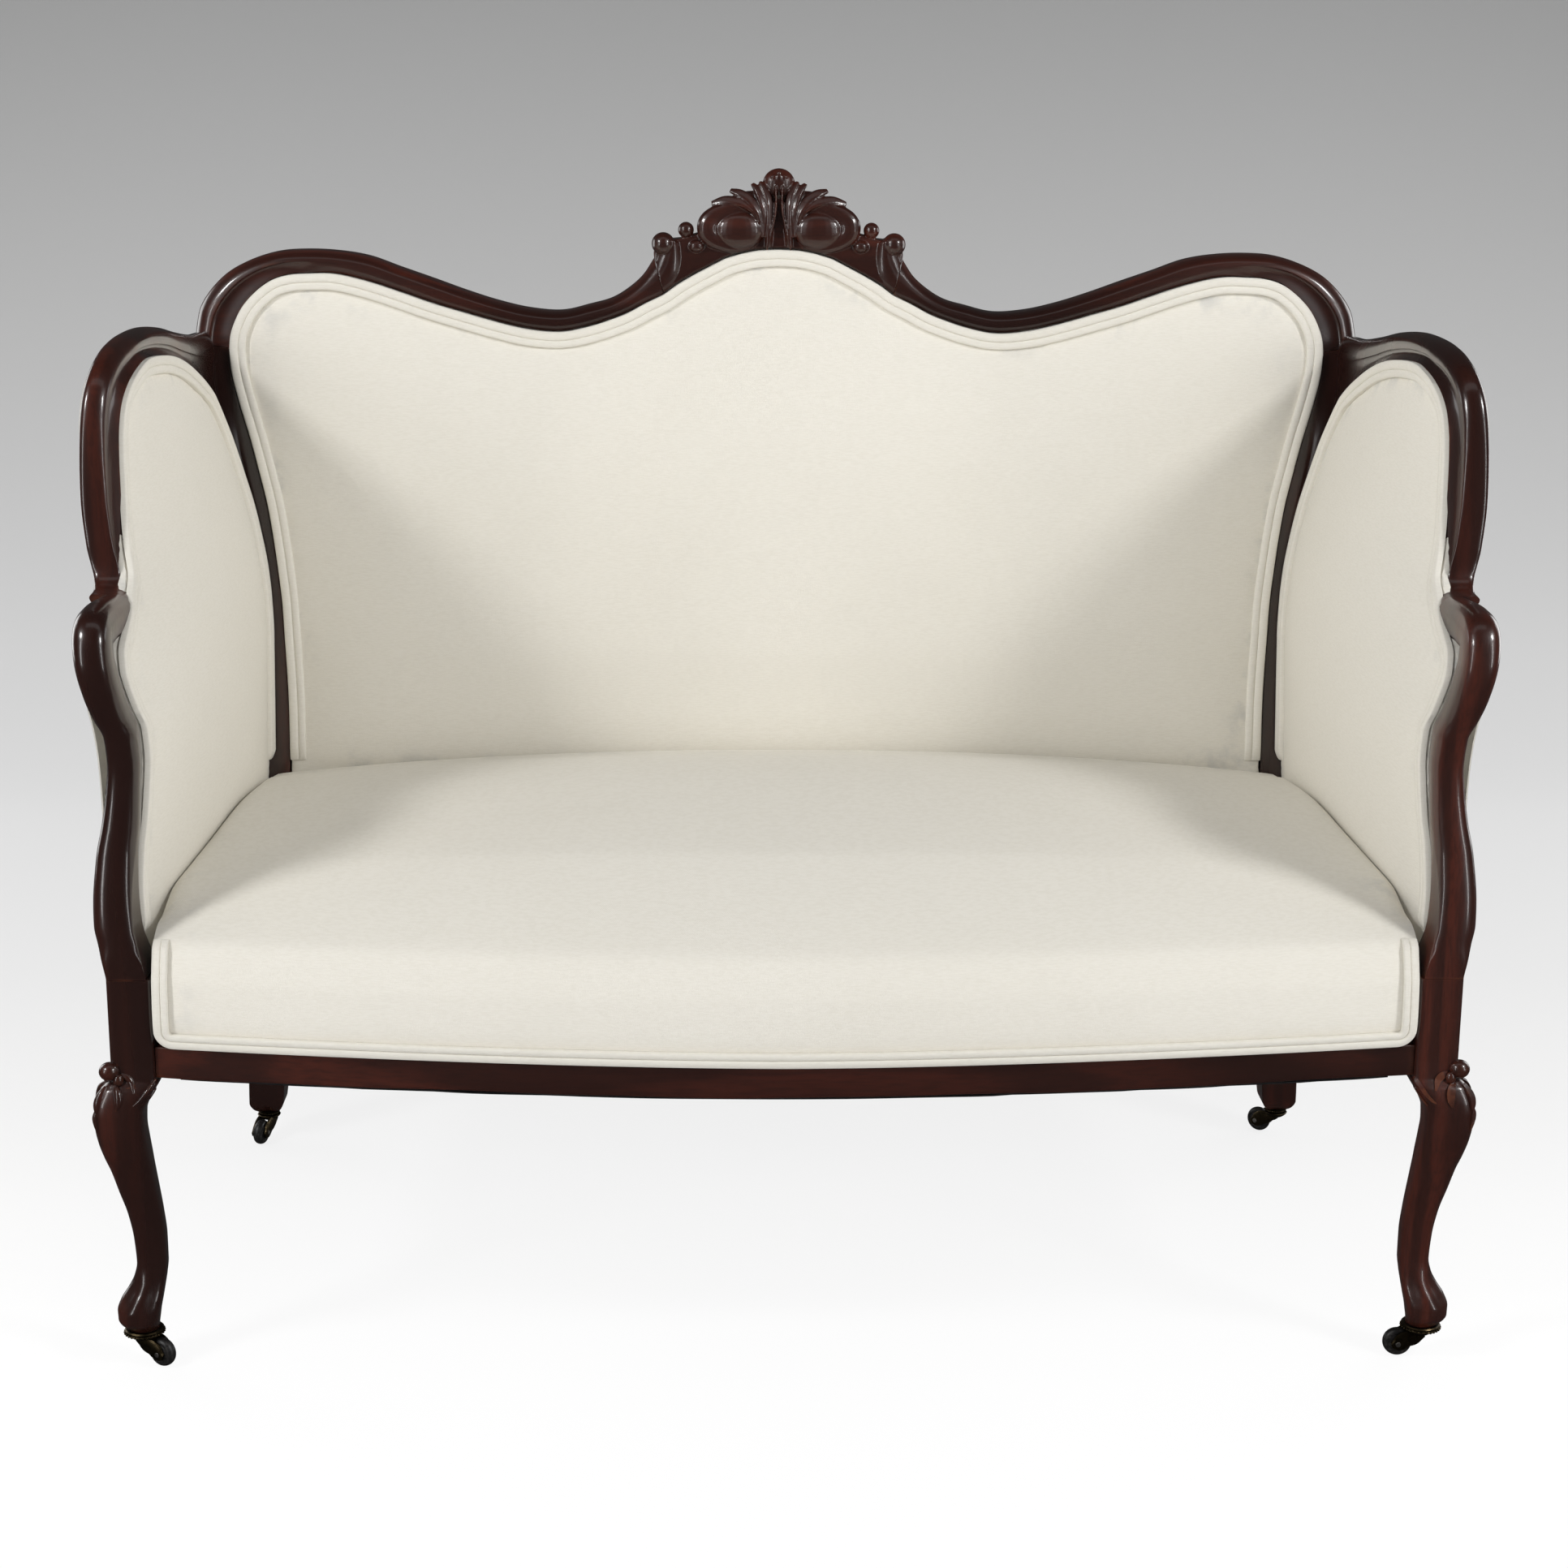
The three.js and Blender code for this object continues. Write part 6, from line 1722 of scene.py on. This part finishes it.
def make_sweep(camera, hold, mirrored):
    """Paper that lies on the floor and curves up into a wall behind the sofa."""
    floor_end = paper_wall - paper_turn
    profile = [(y, 0.0) for y in (paper_front, *np.linspace(paper_near, floor_end, 60))]
    profile += [(floor_end + paper_turn * math.sin(a), paper_turn - paper_turn * math.cos(a))
                for a in np.linspace(0, math.pi / 2, 30)[1:]]
    profile += [(paper_wall, z) for z in np.linspace(paper_turn, paper_height, 40)[1:]]
    profile = np.array(profile)
    lens = camera.data.lens / camera.data.sensor_width
    to_camera = camera.matrix_world.inverted()
    heights = []
    for y, z in profile:
        spot = to_camera @ Vector((camera.location.x, y, z))
        heights.append(0.5 - spot.y / -spot.z * lens if spot.z < -0.2 else 2.0)
    heights = np.array(heights)
    shown = heights <= picture_margin
    run = np.concatenate([[0], np.cumsum(np.linalg.norm(np.diff(profile[shown], axis=0), axis=1))])
    heights = heights[shown]
    upper = np.argmin(np.abs(heights)) + 1
    stops = []
    for share, tone in paper_tones[::-1]:
        place = np.interp(-share, -heights[:upper + 1], run[:upper + 1]) / run[upper]
        own = (on_screen(tone) - hold * np.interp(share, *paper_lit)) / (1 - hold)
        stops.append((float(place), own / paper_reach))
    runs = np.zeros(len(profile))
    runs[shown] = run / run[upper]
    points = [(x, y, z) for y, z in profile for x in (-paper_half_width, paper_half_width)]
    faces = [(2 * k, 2 * k + 1, 2 * k + 3, 2 * k + 2) for k in range(len(profile) - 1)]
    mesh = bpy.data.meshes.new("paper_sweep")
    mesh.from_pydata(points, [], faces)
    mesh.polygons.foreach_set("use_smooth", [True] * len(faces))
    noted(mesh, "run", np.clip(np.repeat(runs, 2), 0, 1.2))
    mesh.materials.append(painted_sweep("studio_paper", stops, hold, mirrored))
    new_object("paper_sweep", mesh)


# Settings shown in the panel
def number(name, description, value, **kind):
    return bpy.props.FloatProperty(name=name, description=description, default=value, **kind)


def length(name, description, value):
    return number(name, description, value * MM, unit="LENGTH")


def colour(name, description, value):
    return bpy.props.FloatVectorProperty(
        name=name, description=description, default=value, subtype="COLOR", size=3, min=0, max=1)


class SofaSizes(bpy.types.PropertyGroup):
    """Sizes of the upholstery and of the carving."""
    back_crown: length("Back crown", "How far the back panel swells in front of its edge", back_crown)
    side_crown: length("Side crown", "How far each side panel swells beyond its edge", side_crown)
    panel_net: length("Panel net", "Spacing of the points on the padded panels", 9)
    swell: length("Swell", "Furthest that air pressure may move the cloth", 5)
    carving: length("Carving detail", "Smallest detail kept on the carved crest", 0.9)


class SofaColours(bpy.types.PropertyGroup):
    """Colours of the finishes, in scene light."""
    wood_pale: colour("Mahogany figure", "Red brown of the lighter figure in the wood", (0.074, 0.0134, 0.0060))
    wood_deep: colour("Mahogany ground", "Near black brown between the figure", (0.0180, 0.0054, 0.0037))
    cloth: colour("Ivory cloth", "Woven cover of the seat, back and sides", (0.83, 0.80, 0.725))
    beech: colour("Beech", "Unpolished inner rails and blocks", (0.44, 0.29, 0.16))
    jute: colour("Jute", "Webbing and hessian under the seat", (0.36, 0.25, 0.13))
    lining: colour("Black lining", "Cloth under the seat frame", (0.016, 0.016, 0.017))
    brass: colour("Castor brass", "Blackened brass of the castors", (0.070, 0.052, 0.028))
    steel: colour("Spring steel", "Springs and axle pins", (0.30, 0.28, 0.26))
    wheel: colour("Castor wheel", "Dark composition of the wheels", (0.0095, 0.0085, 0.0085))


class SofaStudio(bpy.types.PropertyGroup):
    """Camera and lamps."""
    place: bpy.props.FloatVectorProperty(
        name="Camera place", description="Where the camera stands", subtype="TRANSLATION", size=3,
        default=tuple(float(v) for v in placed([(-60.9, -2363.7, 1150.2)])[0]))
    pitch: number("Camera tilt", "How far it looks down", math.radians(14.69), subtype="ANGLE")
    yaw: number("Camera turn", "How far it looks to the right", math.radians(1.365), subtype="ANGLE")
    roll: number("Camera roll", "Lean about its own line of sight", math.radians(0.364), subtype="ANGLE")
    strip_power: number("Strip lamps", "Power of each upright strip lamp", 13, unit="POWER")
    side_power: number("Side lamps", "Power of the two soft lamps", 32, unit="POWER")
    rear_power: number("Rear lamps", "Power of the lamps behind the sofa's sides", 14, unit="POWER")
    top_power: number("Top lamp", "Power of the lamp overhead", 2.5, unit="POWER")
    ambient: number("Room light", "Even light from all round", 0.88)
    overhead: number("Light from above", "Share of the room light that comes from overhead", 0.10,
                     subtype="FACTOR")
    floor_shine: number("Paper in polish", "How bright the paper looks in polished wood", 0.04)
    mirrored: number("Room in polish", "How bright the room looks in polished wood", 0.03)
    hold: number("Shadow hold", "Share of the sofa's shadow that the paper keeps", 0.14)


def shade(name):
    return bpy.data.materials[name]


def darker(tone, share):
    return tuple(c * share for c in tone)


def fitted(name, shape, finish, stands_for, slot="mahogany"):
    """Piece from its points and faces, settled in place of a solid."""
    return settled(make_object(name, *shape, shade(finish)), stands_for, slot)


def each_side(make, label, stands_for, finish, slot="mahogany"):
    """Makes one piece for the left side and one for the right."""
    return [fitted(f"{label}_{name}", make(side), finish, f"{stands_for}_{name}", slot)
            for name, side in SIDES.items()]


def tree_of(names):
    """Search tree over the faces of several finished pieces."""
    points = []
    faces = []
    for name in names:
        piece = bpy.data.objects[name]
        first = len(points)
        points += [piece.matrix_world @ v.co for v in piece.data.vertices]
        faces += [[i + first for i in p.vertices] for p in piece.data.polygons]
    return BVHTree.FromPolygons(points, faces)


class SOFA_OT_finishes(bpy.types.Operator):
    """Mixes the wood, cloth and metal finishes"""
    bl_idname = "sofa.finishes"
    bl_label = "Finishes"
    bl_options = {"REGISTER", "UNDO"}

    def execute(self, context):
        tones = context.scene.sofa_colours
        groups = {"grain": grain_group(), "wear": wear_and_shade_group(), "weave": weave_group(), "marks": marks_group()}
        for axis in "xyz":
            wood(f"mahogany_{axis}", groups, axis, tuple(tones.wood_pale), tuple(tones.wood_deep))
        wood("beech_raw", groups, "x", tuple(tones.beech), darker(tones.beech, 0.7), raw=True)
        upholstery_cloth("ivory_cover", groups, tuple(tones.cloth))
        upholstery_cloth("ivory_piping", groups, darker(tones.cloth, 0.97), marks=0.0, pitch=0.0012)
        plain_cloth("jute_weave", groups, tuple(tones.jute), darker(tones.jute, 0.55), 0.0024)
        plain_cloth("black_weave", groups, tuple(tones.lining), darker(tones.lining, 0.6), 0.0012)
        aged_metal("castor_metal", groups, tuple(tones.brass), darker(tones.brass, 0.3), 0.3)
        aged_metal("spring_metal", groups, tuple(tones.steel), darker(tones.steel, 0.35), 0.35)
        wheel_composition("wheel_composition", groups, tuple(tones.wheel))
        return {"FINISHED"}


class SOFA_OT_front_legs(bpy.types.Operator):
    """Carves the two cabriole front legs"""
    bl_idname = "sofa.front_legs"
    bl_label = "Front legs"
    bl_options = {"REGISTER", "UNDO"}

    def execute(self, context):
        for name, side in SIDES.items():
            settled(make_front_leg(f"carved_leg_{name}", side, shade("mahogany_z")), f"leg_front_{name}")
        return {"FINISHED"}


class SOFA_OT_arm_supports(bpy.types.Operator):
    """Shapes the stems that carry the arms"""
    bl_idname = "sofa.arm_supports"
    bl_label = "Arm supports"
    bl_options = {"REGISTER", "UNDO"}

    def execute(self, context):
        each_side(make_arm_support, "shaped_arm", "arm_support", "mahogany_z")
        return {"FINISHED"}


class SOFA_OT_wing_rails(bpy.types.Operator):
    """Shapes the rails over the side panels"""
    bl_idname = "sofa.wing_rails"
    bl_label = "Wing rails"
    bl_options = {"REGISTER", "UNDO"}

    def execute(self, context):
        each_side(make_wing_rail, "shaped_wing", "wing_rail", "mahogany_z")
        return {"FINISHED"}


class SOFA_OT_back_posts(bpy.types.Operator):
    """Shapes the back posts with the rear legs"""
    bl_idname = "sofa.back_posts"
    bl_label = "Back posts"
    bl_options = {"REGISTER", "UNDO"}

    def execute(self, context):
        each_side(make_back_post, "shaped_post", "back_post", "mahogany_z")
        return {"FINISHED"}


class SOFA_OT_top_rails(bpy.types.Operator):
    """Shapes the serpentine top rails"""
    bl_idname = "sofa.top_rails"
    bl_label = "Top rails"
    bl_options = {"REGISTER", "UNDO"}

    def execute(self, context):
        each_side(make_top_rail, "shaped_top_rail", "top_rail", "mahogany_x")
        return {"FINISHED"}


class SOFA_OT_crest(bpy.types.Operator):
    """Carves the crest between the top rails"""
    bl_idname = "sofa.crest"
    bl_label = "Crest"
    bl_options = {"REGISTER", "UNDO"}

    def execute(self, context):
        crest = make_crest("carved_crest", shade("mahogany_x"), context.scene.sofa_sizes.carving / MM)
        settled(crest, "crest_carving")
        return {"FINISHED"}


class SOFA_OT_seat_rails(bpy.types.Operator):
    """Works the four rails of the seat frame"""
    bl_idname = "sofa.seat_rails"
    bl_label = "Seat rails"
    bl_options = {"REGISTER", "UNDO"}

    def execute(self, context):
        each_side(make_side_rail, "worked_side_rail", "side_seat_rail", "mahogany_y")
        fitted("worked_front_rail", make_front_rail(), "mahogany_x", "front_seat_rail")
        fitted("worked_rear_rail", make_rear_rail(), "mahogany_x", "rear_seat_rail")
        return {"FINISHED"}


class SOFA_OT_inner_frame(bpy.types.Operator):
    """Gives the hidden rails, blocks and springs their finishes"""
    bl_idname = "sofa.inner_frame"
    bl_label = "Inner frame"
    bl_options = {"REGISTER", "UNDO"}

    def execute(self, context):
        finishes = {"spring": "spring_metal", "tacking": "beech_raw", "block": "beech_raw"}
        for name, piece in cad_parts.items():
            for part, finish in finishes.items():
                if part in name:
                    piece.data.materials.clear()
                    piece.data.materials.append(shade(finish))
        return {"FINISHED"}


class SOFA_OT_panels(bpy.types.Operator):
    """Stuffs the back and side panels and lays their double piping"""
    bl_idname = "sofa.panels"
    bl_label = "Back and side panels"
    bl_options = {"REGISTER", "UNDO"}

    def execute(self, context):
        sizes = context.scene.sofa_sizes
        cover = shade("ivory_cover")
        back = stuffed("stuffed_back", back_outline(), on_back, 0, pad_depth, sizes.back_crown / MM, sizes, cover)
        settled(back, "back_pad", "ivory_cloth")
        fitted("corded_back_edge", make_back_piping(), "ivory_piping", "back_piping", "ivory_cloth")
        for name, side in SIDES.items():
            pad = stuffed(f"stuffed_side_{name}", side_outline(), on_side(side), pad_depth, 0,
                          sizes.side_crown / MM, sizes, cover)
            settled(pad, f"side_pad_{name}", "ivory_cloth")
        each_side(make_side_piping, "corded_side_edge", "side_piping", "ivory_piping", "ivory_cloth")
        return {"FINISHED"}


class SOFA_OT_seat(bpy.types.Operator):
    """Stuffs the crowned seat and pipes its front"""
    bl_idname = "sofa.seat"
    bl_label = "Seat"
    bl_options = {"REGISTER", "UNDO"}

    def execute(self, context):
        context.view_layer.update()
        back = tree_of(["stuffed_back", "corded_back_edge"])
        beside = tree_of([f"{label}_{name}" for label in ("stuffed_side", "corded_side_edge") for name in SIDES])
        seat = make_seat("stuffed_seat", shade("ivory_cover"), back, beside)
        settled(seat, "seat_pad", "ivory_cloth")
        fitted("corded_seat_edge", make_seat_piping(), "ivory_piping", "seat_piping", "ivory_cloth")
        return {"FINISHED"}


class SOFA_OT_outer_covers(bpy.types.Operator):
    """Stretches the covers over the outside of the back and sides"""
    bl_idname = "sofa.outer_covers"
    bl_label = "Outside covers"
    bl_options = {"REGISTER", "UNDO"}

    def execute(self, context):
        back = fitted("stretched_outer_back", outside_back(), "ivory_piping", "outside_back_cover", "ivory_cloth")
        covers = each_side(outside_side, "stretched_outer_side", "outside_side_cover", "ivory_piping",
                           "ivory_cloth")
        return {"FINISHED"}


class SOFA_OT_under_seat(bpy.types.Operator):
    """Weaves the webbing and stretches the hessian and lining"""
    bl_idname = "sofa.under_seat"
    bl_label = "Under the seat"
    bl_options = {"REGISTER", "UNDO"}

    def execute(self, context):
        fitted("woven_webbing", make_webbing(), "jute_weave", "seat_webbing", "jute")
        plan = seat_plan(rail_rebate + seam, 2 * seam, rail_thickness / 2, 4)
        hessian = fitted("stretched_hessian", flat_sheet(plan, rail_top + seam, cloth_thickness, 0),
                         "jute_weave", "seat_hessian", "jute")
        under = webbing_top - webbing_thickness - 2 * seam - cloth_thickness
        plan = seat_plan(rail_rebate, half_block, rail_rebate, 4 + rail_rebate)
        lining = fitted("stretched_lining", flat_sheet(plan, under, cloth_thickness, 5), "black_weave",
                        "bottoming_cloth", "black_lining")
        return {"FINISHED"}


class SOFA_OT_castors(bpy.types.Operator):
    """Turns the plates, forks, wheels and pins of the four castors"""
    bl_idname = "sofa.castors"
    bl_label = "Castors"
    bl_options = {"REGISTER", "UNDO"}

    def execute(self, context):
        finishes = {"brass": shade("castor_metal"), "wheel": shade("wheel_composition"),
                    "steel": shade("spring_metal")}
        for corner in CORNERS:
            make_castor(corner, finishes)
        return {"FINISHED"}


class SOFA_OT_studio(bpy.types.Operator):
    """Sets up the camera, the paper sweep and the lamps"""
    bl_idname = "sofa.studio"
    bl_label = "Studio"
    bl_options = {"REGISTER", "UNDO"}

    def execute(self, context):
        scene = context.scene
        studio = scene.sofa_studio
        camera = new_object("camera", bpy.data.cameras.new("camera"))
        camera.data.sensor_width = sensor_width
        camera.data.lens = sensor_width * focal_pixels / picture_pixels
        camera.matrix_world = camera_matrix(Vector(studio.place), studio.pitch, studio.yaw, studio.roll)
        scene.camera = camera
        context.view_layer.update()
        make_sweep(camera, studio.hold, studio.floor_shine)
        for name, place, size, setting in lamp_table:
            light = bpy.data.lights.new(name, "AREA")
            light.shape = "RECTANGLE"
            light.size, light.size_y = size
            light.energy = getattr(studio, setting)
            lamp = new_object(name, light)
            lamp.location = place
            lamp.rotation_euler = (lamp_aim - Vector(place)).to_track_quat("-Z", "Y").to_euler()
        world = scene.world or bpy.data.worlds.new("studio")
        scene.world = world
        world.use_nodes = True
        tree = world.node_tree
        gloss = node(tree, "LightPath").outputs["Is Glossy Ray"]
        rise = node(tree, "SeparateXYZ", None, Vector=node(tree, "TexCoord").outputs["Generated"]).outputs[2]
        room = ranged(tree, rise, 0.10, 0.75, studio.ambient, studio.ambient * studio.overhead)
        strength = node(tree, "MapRange", None, Value=gloss, To_Min=room, To_Max=studio.mirrored)
        give(tree, tree.nodes["Background"], {"Strength": strength.outputs[0], "Color": (1.0, 1.0, 1.0, 1)})
        scene.view_settings.view_transform = "Standard"
        return {"FINISHED"}


steps = (
    SOFA_OT_finishes, SOFA_OT_front_legs, SOFA_OT_arm_supports, SOFA_OT_wing_rails, SOFA_OT_back_posts,
    SOFA_OT_top_rails, SOFA_OT_crest, SOFA_OT_seat_rails, SOFA_OT_inner_frame, SOFA_OT_panels, SOFA_OT_seat,
    SOFA_OT_outer_covers, SOFA_OT_under_seat, SOFA_OT_castors, SOFA_OT_studio,
)


class SOFA_PT_panel(bpy.types.Panel):
    """Lists the building steps and settings"""
    bl_idname, bl_label = "SOFA_PT_panel", "Cabriole sofa"
    bl_space_type, bl_region_type, bl_category = "VIEW_3D", "UI", "Sofa"

    def draw(self, context):
        for step in steps:
            self.layout.operator(step.bl_idname)
        for store in (context.scene.sofa_sizes, context.scene.sofa_colours, context.scene.sofa_studio):
            box = self.layout.box()
            for key in store.__annotations__:
                box.prop(store, key)


stores = {"sofa_sizes": SofaSizes, "sofa_colours": SofaColours, "sofa_studio": SofaStudio}


def register():
    for kind in (*stores.values(), *steps, SOFA_PT_panel):
        bpy.utils.register_class(kind)
    for key, kind in stores.items():
        setattr(bpy.types.Scene, key, bpy.props.PointerProperty(type=kind))


def unregister():
    for key in stores:
        delattr(bpy.types.Scene, key)
    for kind in (SOFA_PT_panel, *reversed(steps), *stores.values()):
        bpy.utils.unregister_class(kind)


def main():
    register()
    for step in steps:
        space, name = step.bl_idname.split(".")
        getattr(getattr(bpy.ops, space), name)()
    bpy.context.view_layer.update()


if __name__ == "__main__":
    main()
